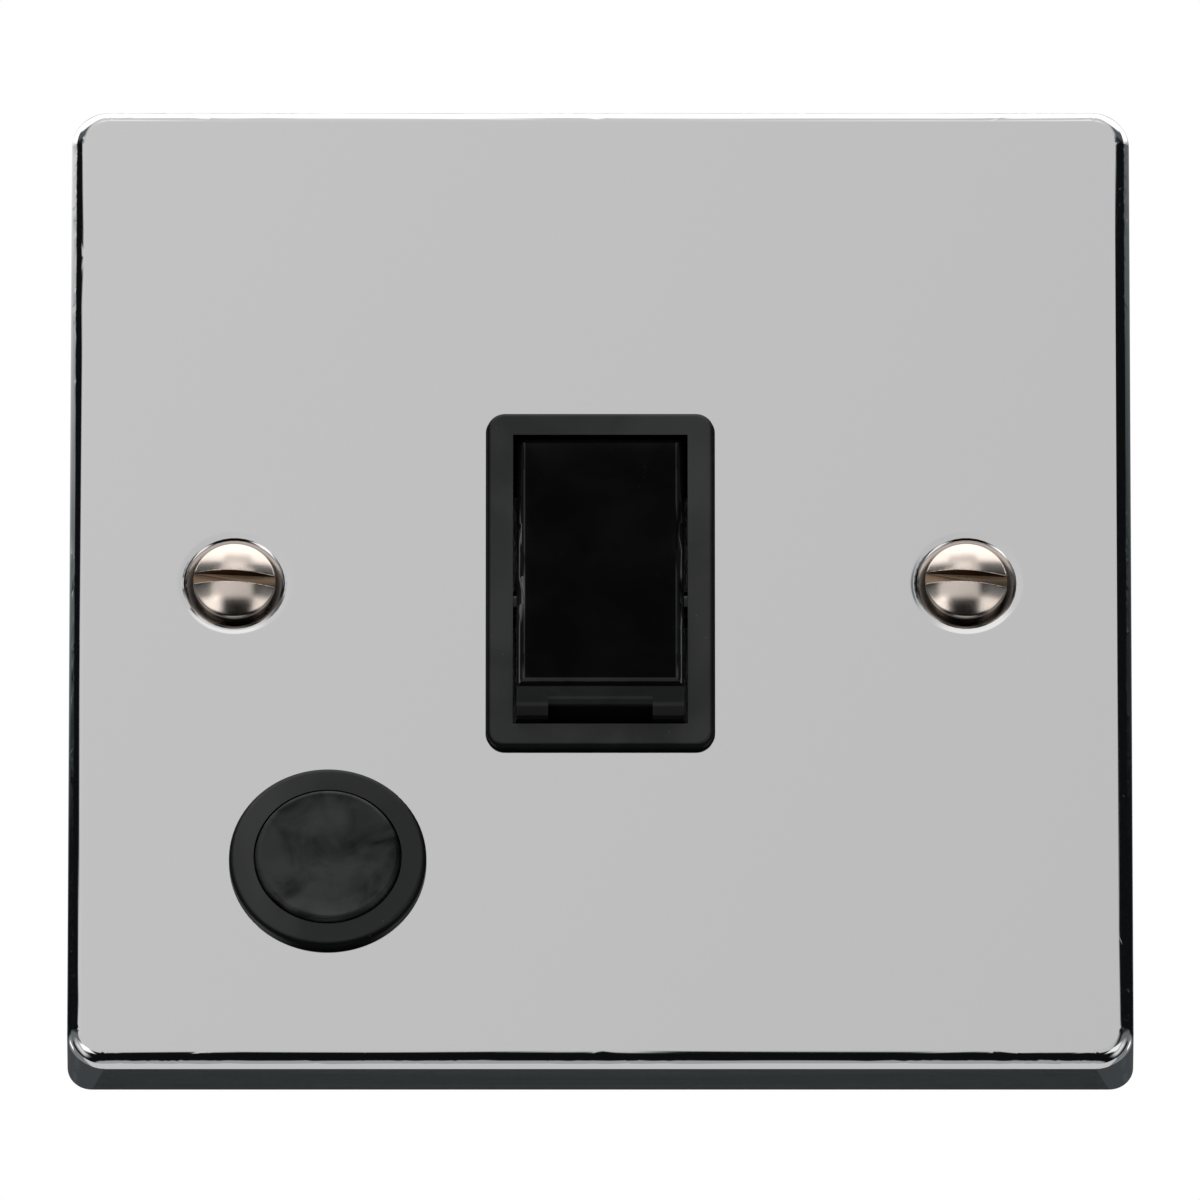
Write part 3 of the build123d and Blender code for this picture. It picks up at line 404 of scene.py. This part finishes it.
def lathe(bm, outline, centre, steps):
    """Turns an outline of (radius, depth) points about the axis into the wall through centre."""
    points = [bm.verts.new((centre.x + radius, depth, centre.z)) for radius, depth in outline]
    lines = [bm.edges.new(pair) for pair in zip(points, points[1:])]
    bmesh.ops.spin(
        bm, geom=points + lines, cent=centre, axis=INTO_WALL, angle=2 * pi, steps=steps, use_merge=True)
    bmesh.ops.remove_doubles(bm, verts=bm.verts, dist=MERGE_DISTANCE)
    bmesh.ops.recalc_face_normals(bm, faces=bm.faces)


def wind_thread(bm, centre, diameter, pitch, start, end):
    """Winds a thread ridge round the axis into the wall from depth start to depth end."""
    turns = (end - start) / pitch - THREAD_FOOT
    crest = diameter / 2
    root = crest - THREAD_ROOT_DEPTH * pitch
    ridge = [(root, 0.0), *((crest, share * pitch) for share in THREAD_CREST), (root, THREAD_FOOT * pitch)]
    section = bm.faces.new([bm.verts.new((centre.x + r, start + y, centre.z)) for r, y in ridge])
    bmesh.ops.spin(
        bm, geom=[section, *section.edges, *section.verts], cent=centre, axis=INTO_WALL,
        dvec=INTO_WALL * pitch / STEPS_A_TURN, angle=2 * pi * turns, steps=round(turns * STEPS_A_TURN))
    bmesh.ops.holes_fill(bm, edges=[edge for edge in bm.edges if edge.is_boundary], sides=4)
    bmesh.ops.recalc_face_normals(bm, faces=bm.faces)


def make_object(name, bm):
    """Finished bmesh as a smooth object with sharp edges kept."""
    mesh = bpy.data.meshes.new(name)
    bm.to_mesh(mesh)
    bm.free()
    mesh.shade_smooth()
    mesh.set_sharp_from_angle(angle=SHARP_ANGLE)
    piece = bpy.data.objects.new(name, mesh)
    bpy.context.scene.collection.objects.link(piece)
    return piece


def combine(piece, tool, operation):
    """Applies a boolean to a piece and deletes the tool."""
    modifier = piece.modifiers.new("Combine", "BOOLEAN")
    modifier.object = tool
    modifier.operation = operation
    modifier.solver = "EXACT"
    result = bmesh.new()
    result.from_object(piece, bpy.context.evaluated_depsgraph_get())
    for old in (piece, tool):
        mesh = old.data
        bpy.data.objects.remove(old)
        bpy.data.meshes.remove(mesh)
    return result


def join(whole, part):
    """Moves one bmesh into another."""
    mesh = bpy.data.meshes.new("part")
    part.to_mesh(mesh)
    part.free()
    whole.from_mesh(mesh)
    bpy.data.meshes.remove(mesh)


def dress(piece, node, slot, finishes, *others):
    """Puts a finished piece in the place of its CAD node, with the finishes of its faces in order."""
    for finish in (slot, *others):
        piece.data.materials.append(finishes[finish])
    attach(piece, frame["nodes"][node]["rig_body"])
    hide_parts(node)


def finishes_of_scene():
    """Materials by the record's slot, made once."""
    names = bpy.context.scene.get("switch_finishes")
    if names is None:
        finishes = make_finishes(bpy.context.scene.switch_fasteners)
        bpy.context.scene["switch_finishes"] = {slot: material.name for slot, material in finishes.items()}
        return finishes
    return {slot: bpy.data.materials[name] for slot, name in names.items()}


class SWITCH_OT_finishes(bpy.types.Operator):
    """Gives every CAD piece the finish of its slot"""

    bl_idname = "switch.finishes"
    bl_label = "Finishes"

    def execute(self, context):
        finishes = finishes_of_scene()
        for part in frame["record"]["subparts"]:
            node = frame["nodes"][part["node"]]
            node.data.materials.clear()
            node.data.materials.append(finishes.get(part["node"], finishes[part["material_slot"]]))
        return {"FINISHED"}


class SWITCH_OT_fixing_screws(bpy.types.Operator):
    """Makes the two slotted raised countersunk screws with their threads"""

    bl_idname = "switch.fixing_screws"
    bl_label = "Fixing screws"

    def execute(self, context):
        sizes = context.scene.switch_fasteners
        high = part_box("fixing_screws")[1]
        head = sizes.head_diameter / 2
        turn = sizes.rim_radius
        neck = sizes.neck_diameter / 2
        core = sizes.fixing_diameter / 2 - THREAD_CORE_DEPTH * sizes.fixing_pitch
        end_chamfer = 0.35 * MM
        taper_length = 0.8 * MM
        slot_bevel = 0.05 * MM
        slack = 0.01 * MM
        sharp = radians(40)
        rim = high.y - sizes.fixing_length
        top = rim - sizes.head_land - sizes.dome_height
        dome_radius = (head**2 + sizes.dome_height**2) / (2 * sizes.dome_height)
        dome_angle = asin((head - turn) / (dome_radius - turn))
        turn_depth = top + dome_radius - (dome_radius - turn) * cos(dome_angle)
        rings = 12
        segments = 96
        dome = [(dome_radius * sin(a), top + dome_radius * (1 - cos(a)))
                for a in (dome_angle * i / rings for i in range(rings))]
        shoulder = [(head - turn + turn * sin(a), turn_depth - turn * cos(a))
                    for a in (dome_angle + (pi / 2 - dome_angle) * i / rings for i in range(rings + 1))]
        outline = dome + shoulder + [
            (head, rim),
            (neck, rim + head - neck),
            (neck, rim + sizes.neck_length),
            (core, rim + sizes.neck_length),
            (core, high.y - end_chamfer),
            (core - end_chamfer, high.y),
            (0, high.y),
        ]
        both = bmesh.new()
        for side in (-1, 1):
            centre = Vector((side * sizes.fixing_spacing / 2, 0, 0))
            turned = bmesh.new()
            lathe(turned, outline, centre, segments)
            slot = bmesh.new()
            bmesh.ops.create_cube(slot, size=1.0)
            bmesh.ops.scale(slot, verts=slot.verts, vec=(3 * head, 2 * sizes.slot_depth, sizes.slot_width))
            turned_slot = Matrix.Rotation(sizes.slot_tilt, 3, "Y")
            bmesh.ops.rotate(slot, verts=slot.verts, cent=(0, 0, 0), matrix=turned_slot)
            bmesh.ops.translate(slot, verts=slot.verts, vec=centre + Vector((0, top, 0)))
            screw = combine(make_object("screw", turned), make_object("slot", slot), "DIFFERENCE")
            over_slot = turned_slot @ Vector((0, 0, 1))
            # Faces of the driver slot take the second finish, their painted shade
            for face in screw.faces:
                spread = max(abs((vert.co - centre).dot(over_slot)) for vert in face.verts)
                depth = max(vert.co.y for vert in face.verts)
                if spread < sizes.slot_width / 2 + slack and depth < rim:
                    face.material_index = 1
            brink = [edge for edge in screw.edges
                     if edge.calc_face_angle(0) > sharp and max(v.co.y for v in edge.verts) < rim]
            bmesh.ops.bevel(screw, geom=brink, offset=slot_bevel, offset_type="OFFSET", segments=2,
                            profile=0.5, affect="EDGES", material=-1)
            wind_thread(screw, centre, sizes.fixing_diameter, sizes.fixing_pitch,
                        rim + sizes.neck_length, high.y)
            # The thread runs out into the chamfered end
            for vert in screw.verts:
                off = Vector((vert.co.x - centre.x, 0, vert.co.z))
                room = core - end_chamfer + max(high.y - vert.co.y, 0)
                if vert.co.y > high.y - taper_length and off.length > room:
                    vert.co -= off * (1 - room / off.length)
            join(both, screw)
        screws = make_object("fixing_screws_threaded", both)
        dress(screws, "fixing_screws", "nickel_screw", finishes_of_scene(), "painted_slot_shade")
        return {"FINISHED"}


class SWITCH_OT_studs(bpy.types.Operator):
    """Makes the threaded weld studs and their chamfered nuts"""

    bl_idname = "switch.studs"
    bl_label = "Weld studs and nuts"

    def execute(self, context):
        sizes = context.scene.switch_fasteners
        stud_low, stud_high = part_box("plate_studs")
        nut_low, nut_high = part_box("stud_nuts")
        radius = sizes.stud_diameter / 2
        core = radius - THREAD_CORE_DEPTH * sizes.stud_pitch
        places = [
            Vector((0, 0, stud_high.z - radius)),
            Vector((0, 0, -stud_high.z + radius)),
            Vector((stud_high.x - radius, 0, stud_low.z + radius)),
        ]
        studs = bmesh.new()
        nuts = bmesh.new()
        corner = sizes.nut_across_flats / sqrt(3)
        chamfer = 0.3 * MM
        hole = radius + 0.04 * MM
        collar_end = stud_low.y + 0.5 * MM
        thread_start = stud_low.y + 0.6 * MM
        core_start = stud_low.y + 0.8 * MM
        flat = sizes.nut_across_flats / 2 - 0.05 * MM
        past = 0.001 * MM
        wide = corner * 1.02
        stud_segments, nut_segments = 32, 48
        for centre in places:
            lathe(studs, [
                (0, stud_low.y), (radius, stud_low.y), (radius, collar_end), (core, core_start),
                (core, stud_high.y - chamfer), (core - chamfer, stud_high.y), (0, stud_high.y)],
                centre, stud_segments)
            wind_thread(studs, centre, sizes.stud_diameter, sizes.stud_pitch,
                        thread_start, stud_high.y - chamfer / 2)
            block = bmesh.new()
            bmesh.ops.create_circle(block, cap_ends=True, segments=6, radius=corner)
            turn = Matrix.Rotation(-pi / 2, 3, "X") @ Matrix.Rotation(pi / 2, 3, "Z")
            bmesh.ops.rotate(block, verts=block.verts, cent=(0, 0, 0), matrix=turn)
            bmesh.ops.translate(block, verts=block.verts, vec=centre + Vector((0, nut_low.y, 0)))
            grown = bmesh.ops.extrude_face_region(block, geom=block.faces[:])["geom"]
            bmesh.ops.translate(block, verts=[v for v in grown if isinstance(v, bmesh.types.BMVert)],
                                vec=(0, nut_high.y - nut_low.y, 0))
            bmesh.ops.recalc_face_normals(block, faces=block.faces)
            ring = bmesh.new()
            lathe(ring, [
                (hole, nut_low.y + chamfer), (hole + chamfer, nut_low.y - past), (flat, nut_low.y - past),
                (wide, nut_low.y + chamfer), (wide, nut_high.y - chamfer),
                (flat, nut_high.y + past), (hole + chamfer, nut_high.y + past),
                (hole, nut_high.y - chamfer), (hole, nut_low.y + chamfer)], centre, nut_segments)
            nut = combine(make_object("block", block), make_object("ring", ring), "INTERSECT")
            join(nuts, nut)
        finishes = finishes_of_scene()
        dress(make_object("weld_studs_threaded", studs), "plate_studs", "zinc_steel", finishes)
        dress(make_object("stud_nuts_chamfered", nuts), "stud_nuts", "zinc_steel", finishes)
        return {"FINISHED"}


class SWITCH_OT_springs(bpy.types.Operator):
    """Winds the two plunger springs with closed ends"""

    bl_idname = "switch.springs"
    bl_label = "Plunger springs"

    def execute(self, context):
        sizes = context.scene.switch_springs
        finishes = finishes_of_scene()
        outward = Vector((0, -cos(sizes.tilt), sin(sizes.tilt)))
        sides = 10
        gap = 0.02 * MM
        rise = sizes.length - sizes.wire - 2 * gap - 2 * sizes.closed_pitch
        turns = [(1, sizes.closed_pitch), (sizes.turns, rise), (1, sizes.closed_pitch)]
        for pole, side in (("line", -1), ("neutral", 1)):
            pivot = Vector((side * sizes.pole_spacing / 2, sizes.pivot_depth, 0))
            seat = pivot + outward * sizes.seat
            start = seat - outward * (sizes.length - gap - sizes.wire / 2)
            coil = bmesh.new()
            ring = []
            for i in range(sides):
                angle = 2 * pi * i / sides
                across = Vector((sizes.mean_diameter / 2 + sizes.wire / 2 * cos(angle), 0, 0))
                ring.append(coil.verts.new(start + across + outward * (sizes.wire / 2 * sin(angle))))
            section = coil.faces.new(ring)
            geometry = [section, *section.edges, *section.verts]
            for count, climb in turns:
                steps = STEPS_A_TURN * count
                geometry = bmesh.ops.spin(
                    coil, geom=geometry, cent=start, axis=outward, dvec=outward * climb / steps,
                    angle=2 * pi * count, steps=steps)["geom_last"]
            bmesh.ops.holes_fill(coil, edges=[edge for edge in coil.edges if edge.is_boundary], sides=sides)
            bmesh.ops.recalc_face_normals(coil, faces=coil.faces)
            spring = make_object(f"{pole}_spring_closed_ends", coil)
            dress(spring, f"{pole}_plunger_spring", "spring_steel", finishes)
            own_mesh(spring)
        return {"FINISHED"}


def band(tree, angle, low, high, soft):
    """Smooth window that is 1 between two angles and 0 outside, with soft edges."""
    rise = add(tree, "ShaderNodeMapRange", {
        "Value": angle, "From Min": radians(low - soft), "From Max": radians(low + soft)},
        interpolation_type="SMOOTHSTEP")
    fall = add(tree, "ShaderNodeMapRange", {
        "Value": angle, "From Min": radians(high + soft), "From Max": radians(high - soft)},
        interpolation_type="SMOOTHSTEP")
    return add(tree, "ShaderNodeMath", {0: rise.outputs["Result"], 1: fall.outputs["Result"]},
               operation="MULTIPLY").outputs[0]


def make_tent(radius):
    """Light tent with white cards and dark gaps, which only reflections see."""
    bm = bmesh.new()
    bmesh.ops.create_icosphere(bm, subdivisions=4, radius=radius)
    tent = make_object("light_tent", bm)
    material, tree, place = new_material("Light Tent Cloth and Black Card")
    way = add(tree, "ShaderNodeVectorMath", {0: place}, operation="NORMALIZE")
    axes = add(tree, "ShaderNodeSeparateXYZ", {"Vector": way.outputs["Vector"]})
    elevation = add(tree, "ShaderNodeMath", {0: axes.outputs["Z"]}, operation="ARCSINE").outputs[0]
    ahead = add(tree, "ShaderNodeMath", {0: axes.outputs["Y"], 1: -1.0}, operation="MULTIPLY").outputs[0]
    azimuth = add(tree, "ShaderNodeMath", {0: axes.outputs["X"], 1: ahead}, operation="ARCTAN2").outputs[0]
    aside = add(tree, "ShaderNodeMath", {0: azimuth}, operation="ABSOLUTE").outputs[0]
    # Front cloth, a little brighter to the left and to the top
    left = add(tree, "ShaderNodeMapRange", {
        "Value": azimuth, "From Min": -0.2, "From Max": 0.2, "To Min": 0.98, "To Max": 0.91})
    upper = add(tree, "ShaderNodeMapRange", {
        "Value": elevation, "From Min": 0.2, "From Max": 0.7, "To Min": 0.97, "To Max": 1.03})
    lean = add(tree, "ShaderNodeMath", {0: left.outputs["Result"], 1: upper.outputs["Result"]},
               operation="MULTIPLY").outputs[0]
    wide = add(tree, "ShaderNodeMath", {
        0: band(tree, azimuth, -33, 21, 4), 1: band(tree, elevation, -6, 33, 3)},
        operation="MULTIPLY").outputs[0]
    cloth = add(tree, "ShaderNodeMath", {
        0: band(tree, azimuth, -25, 25, 4), 1: band(tree, elevation, 33, 60, 3), 2: wide},
        operation="MULTIPLY_ADD").outputs[0]
    gap_light = 0.012
    light = add(tree, "ShaderNodeMath", {0: cloth, 1: lean, 2: gap_light}, operation="MULTIPLY_ADD").outputs[0]
    # Each card: its angle and the range of that, the range of its elevation, soft edge (degrees), brightness.
    # A card by aside stands on both sides, one by azimuth on one side alone; the front is at 0.
    cards = [
        (aside, (-30, 210), (60, 120), 5, 2.2),
        (aside, (-14, 14), (37, 47), 3, 0.45),
        (aside, (25, 80), (47, 60), 3, 1.9),
        (aside, (25, 80), (33, 47), 3, 0.2),
        (aside, (80, 140), (33, 60), 3, 1.9),
        (aside, (140, 210), (34, 60), 4, 0.8),
        (aside, (-30, 90), (-120, -66), 3, 0.65),
        (aside, (90, 210), (-120, -40), 3, 0.95),
        (aside, (138, 210), (-40, 24), 4, 0.115),
        (aside, (90, 138), (-40, 12), 4, 0.42),
        (aside, (30, 90), (-2, 15), 4, 0.3),
        (azimuth, (-210, -82), (26, 34), 5, 1.2),
        (azimuth, (82, 210), (26, 34), 5, 0.3),
        (azimuth, (-50, -22), (-24, -2), 4, 1.8),
        (azimuth, (22, 50), (-24, -2), 4, 1.5),
        (aside, (52, 74), (-40, -2), 9, 1.15),
        (aside, (104, 122), (-10, 4), 3, 1.5),
    ]
    for angle, sweep, height, soft, strength in cards:
        card = add(tree, "ShaderNodeMath", {
            0: band(tree, angle, *sweep, soft), 1: band(tree, elevation, *height, soft)},
            operation="MULTIPLY")
        light = add(tree, "ShaderNodeMath", {0: card.outputs[0], 1: strength, 2: light},
                    operation="MULTIPLY_ADD").outputs[0]
    tint = add(tree, "ShaderNodeMix", {
        "Factor": light, "A": srgb("#c4d2d8"), "B": srgb("#ffffff")}, data_type="RGBA")
    finish_material(tree, add(tree, "ShaderNodeEmission", {
        "Color": tint.outputs["Result"], "Strength": light}))
    tent.data.materials.append(material)
    only_in_reflections(tent)


def only_in_reflections(card):
    """Keeps a studio card out of the picture and out of the light on matt surfaces."""
    card.visible_camera = False
    card.visible_diffuse = False
    card.visible_shadow = False
    card.visible_transmission = False


def make_flag():
    """Small black card where the rays off the hollow rocker face meet, edge on to those off the plate.

    It frays out towards its edges and is clear to glancing rays, so that it leaves no mark in the plate.
    """
    half_width, solid_half_width = 12 * MM, 6 * MM
    half_length = 14 * MM
    half_rise, solid_half_rise = 6.2 * MM, 2.8 * MM
    clear_from, solid_from = 0.94, 0.86
    edge_on = Matrix.Rotation(radians(-26.4), 3, "X")
    middle = Vector((0, -70 * MM, 61.7 * MM))
    bm = bmesh.new()
    bmesh.ops.create_grid(bm, x_segments=2, y_segments=2, size=1.0)
    bmesh.ops.scale(bm, verts=bm.verts, vec=(half_width, half_length, 1))
    bmesh.ops.rotate(bm, verts=bm.verts, cent=(0, 0, 0), matrix=edge_on)
    bmesh.ops.translate(bm, verts=bm.verts, vec=middle)
    flag = make_object("black_flag", bm)
    material, tree, place = new_material("Black Flock Card")
    nap_mm = 1
    nap = add(tree, "ShaderNodeTexNoise", {"Vector": place, "Scale": 1 / (nap_mm * MM), "Detail": 2.0})
    tone = add(tree, "ShaderNodeMix", {
        "Factor": nap.outputs["Fac"], "A": srgb("#040404"), "B": srgb("#0a0a0a")}, data_type="RGBA")
    flock = add(tree, "ShaderNodeBsdfDiffuse", {"Color": tone.outputs["Result"]})
    apart = add(tree, "ShaderNodeVectorMath", {0: place, 1: middle}, operation="SUBTRACT")
    apart = add(tree, "ShaderNodeVectorMath", {0: apart.outputs["Vector"]}, operation="ABSOLUTE")
    axes = add(tree, "ShaderNodeSeparateXYZ", {"Vector": apart.outputs["Vector"]})
    across = add(tree, "ShaderNodeMapRange", {
        "Value": axes.outputs["X"], "From Min": half_width, "From Max": solid_half_width},
        interpolation_type="SMOOTHSTEP")
    along = add(tree, "ShaderNodeMapRange", {
        "Value": axes.outputs["Z"], "From Min": half_rise, "From Max": solid_half_rise},
        interpolation_type="SMOOTHSTEP")
    glancing = add(tree, "ShaderNodeLayerWeight", {"Blend": 0.5}).outputs["Facing"]
    struck = add(tree, "ShaderNodeMapRange", {
        "Value": glancing, "From Min": clear_from, "From Max": solid_from}, interpolation_type="SMOOTHSTEP")
    cover = across
    for fade in (along, struck):
        cover = add(tree, "ShaderNodeMath", {0: cover.outputs[0], 1: fade.outputs["Result"]},
                    operation="MULTIPLY")
    clear = add(tree, "ShaderNodeBsdfTransparent", {})
    finish_material(tree, add(tree, "ShaderNodeMixShader", {
        "Fac": cover.outputs[0], 1: clear.outputs[0], 2: flock.outputs[0]}))
    flag.data.materials.append(material)
    only_in_reflections(flag)


def make_floor(size, height):
    """Pale floor that is only there from above, so that the low camera looks past it."""
    bm = bmesh.new()
    bmesh.ops.create_grid(bm, x_segments=8, y_segments=8, size=size / 2)
    bmesh.ops.translate(bm, verts=bm.verts, vec=(0, 0, height))
    floor = make_object("floor", bm)
    material, tree, place = new_material("Matt White Studio Floor")
    tooth_mm = 60
    tooth = add(tree, "ShaderNodeTexNoise", {"Vector": place, "Scale": 1 / (tooth_mm * MM), "Detail": 3.0})
    tone = add(tree, "ShaderNodeMix", {
        "Factor": tooth.outputs["Fac"], "A": srgb("#efefef"), "B": srgb("#ebebeb")}, data_type="RGBA")
    paint = add(tree, "ShaderNodeBsdfDiffuse", {"Color": tone.outputs["Result"]})
    rays = add(tree, "ShaderNodeLightPath", {})
    lift = add(tree, "ShaderNodeMath", {0: rays.outputs["Is Camera Ray"], 1: 0.5}, operation="MULTIPLY")
    glow = add(tree, "ShaderNodeEmission", {"Strength": lift.outputs[0]})
    lit = add(tree, "ShaderNodeAddShader", {0: paint.outputs[0], 1: glow.outputs[0]})
    clear = add(tree, "ShaderNodeBsdfTransparent", {})
    side = add(tree, "ShaderNodeNewGeometry", {})
    finish_material(tree, add(tree, "ShaderNodeMixShader", {
        "Fac": side.outputs["Backfacing"], 1: lit.outputs[0], 2: clear.outputs[0]}))
    floor.data.materials.append(material)
    floor.visible_glossy = False


def make_world():
    """White to the camera and in reflections, soft grey light on matt surfaces."""
    world = bpy.data.worlds.new("Studio")
    world.use_nodes = True
    tree = world.node_tree
    tree.nodes.clear()
    rays = add(tree, "ShaderNodeLightPath", {})
    seen = add(tree, "ShaderNodeMath", {0: rays.outputs["Is Camera Ray"], 1: rays.outputs["Is Glossy Ray"]},
               operation="MAXIMUM")
    seen = add(tree, "ShaderNodeMath", {0: seen.outputs[0], 1: rays.outputs["Is Transmission Ray"]},
               operation="MAXIMUM")
    soft = add(tree, "ShaderNodeBackground", {"Color": srgb("#f4f6f8"), "Strength": 0.5})
    white = add(tree, "ShaderNodeBackground", {"Color": srgb("#ffffff"), "Strength": 1.0})
    both = add(tree, "ShaderNodeMixShader", {"Fac": seen.outputs[0], 1: soft.outputs[0], 2: white.outputs[0]})
    add(tree, "ShaderNodeOutputWorld", {"Surface": both.outputs[0]})
    bpy.context.scene.world = world


def make_lamp(name, place, size, power):
    """Soft area lamp that faces the plate."""
    lamp = bpy.data.lights.new(name, "AREA")
    lamp.shape = "DISK"
    lamp.size = size
    lamp.energy = power
    holder = bpy.data.objects.new(name, lamp)
    holder.location = place
    holder.rotation_mode = "QUATERNION"
    holder.rotation_quaternion = (-Vector(place)).to_track_quat("-Z", "Y")
    holder.visible_glossy = False
    bpy.context.scene.collection.objects.link(holder)


class SWITCH_OT_stage(bpy.types.Operator):
    """Sets up the floor, light tent, lamps and camera"""

    bl_idname = "switch.stage"
    bl_label = "Stage"

    def execute(self, context):
        stage = context.scene.switch_stage
        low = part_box("face_plate")[0]
        make_world()
        make_tent(stage.tent_radius)
        make_flag()
        make_floor(stage.floor_size, low.z)
        make_lamp("key_lamp", (-0.9, -1.3, 1.2), 0.9, 8.0)
        make_lamp("fill_lamp", (1.1, -0.9, 0.5), 0.9, 3.0)
        make_lamp("back_lamp", (0.5, 1.4, 0.9), 0.9, 6.0)
        camera = bpy.data.cameras.new("photo_camera")
        camera.lens = stage.camera_lens
        camera.sensor_width = 36
        camera.clip_start = 0.1
        camera.clip_end = 20
        holder = bpy.data.objects.new("photo_camera", camera)
        aim = Vector((stage.aim_side, low.y, -stage.aim_drop))
        angle = stage.camera_elevation
        back = Vector((0, -cos(angle), sin(angle)))
        holder.location = aim + back * stage.camera_distance
        holder.rotation_mode = "QUATERNION"
        holder.rotation_quaternion = (-back).to_track_quat("-Z", "Y")
        context.scene.collection.objects.link(holder)
        context.scene.camera = holder
        context.scene.view_settings.view_transform = "Standard"
        return {"FINISHED"}


class SWITCH_PT_panel(bpy.types.Panel):
    """Buttons for each group of pieces, in the order that they are made"""

    bl_idname = "SWITCH_PT_panel"
    bl_label = "Double Pole Switch"
    bl_space_type = "VIEW_3D"
    bl_region_type = "UI"
    bl_category = "Switch"

    def draw(self, context):
        scene = context.scene
        for group in (scene.switch_fasteners, scene.switch_springs, scene.switch_stage):
            for name in group.__annotations__:
                self.layout.prop(group, name)
        for operator in OPERATORS:
            self.layout.operator(operator.bl_idname)


OPERATORS = (
    SWITCH_OT_finishes, SWITCH_OT_fixing_screws, SWITCH_OT_studs, SWITCH_OT_springs, SWITCH_OT_stage)
CLASSES = (SwitchFastenerSettings, SwitchSpringSettings, SwitchStageSettings, *OPERATORS, SWITCH_PT_panel)


def register():
    for item in CLASSES:
        bpy.utils.register_class(item)
    bpy.types.Scene.switch_fasteners = bpy.props.PointerProperty(type=SwitchFastenerSettings)
    bpy.types.Scene.switch_springs = bpy.props.PointerProperty(type=SwitchSpringSettings)
    bpy.types.Scene.switch_stage = bpy.props.PointerProperty(type=SwitchStageSettings)


def unregister():
    del bpy.types.Scene.switch_stage
    del bpy.types.Scene.switch_springs
    del bpy.types.Scene.switch_fasteners
    for item in reversed(CLASSES):
        bpy.utils.unregister_class(item)


def main():
    register()
    bpy.ops.switch.finishes()
    bpy.ops.switch.fixing_screws()
    bpy.ops.switch.studs()
    bpy.ops.switch.springs()
    bpy.ops.switch.stage()


if __name__ == "__main__":
    main()
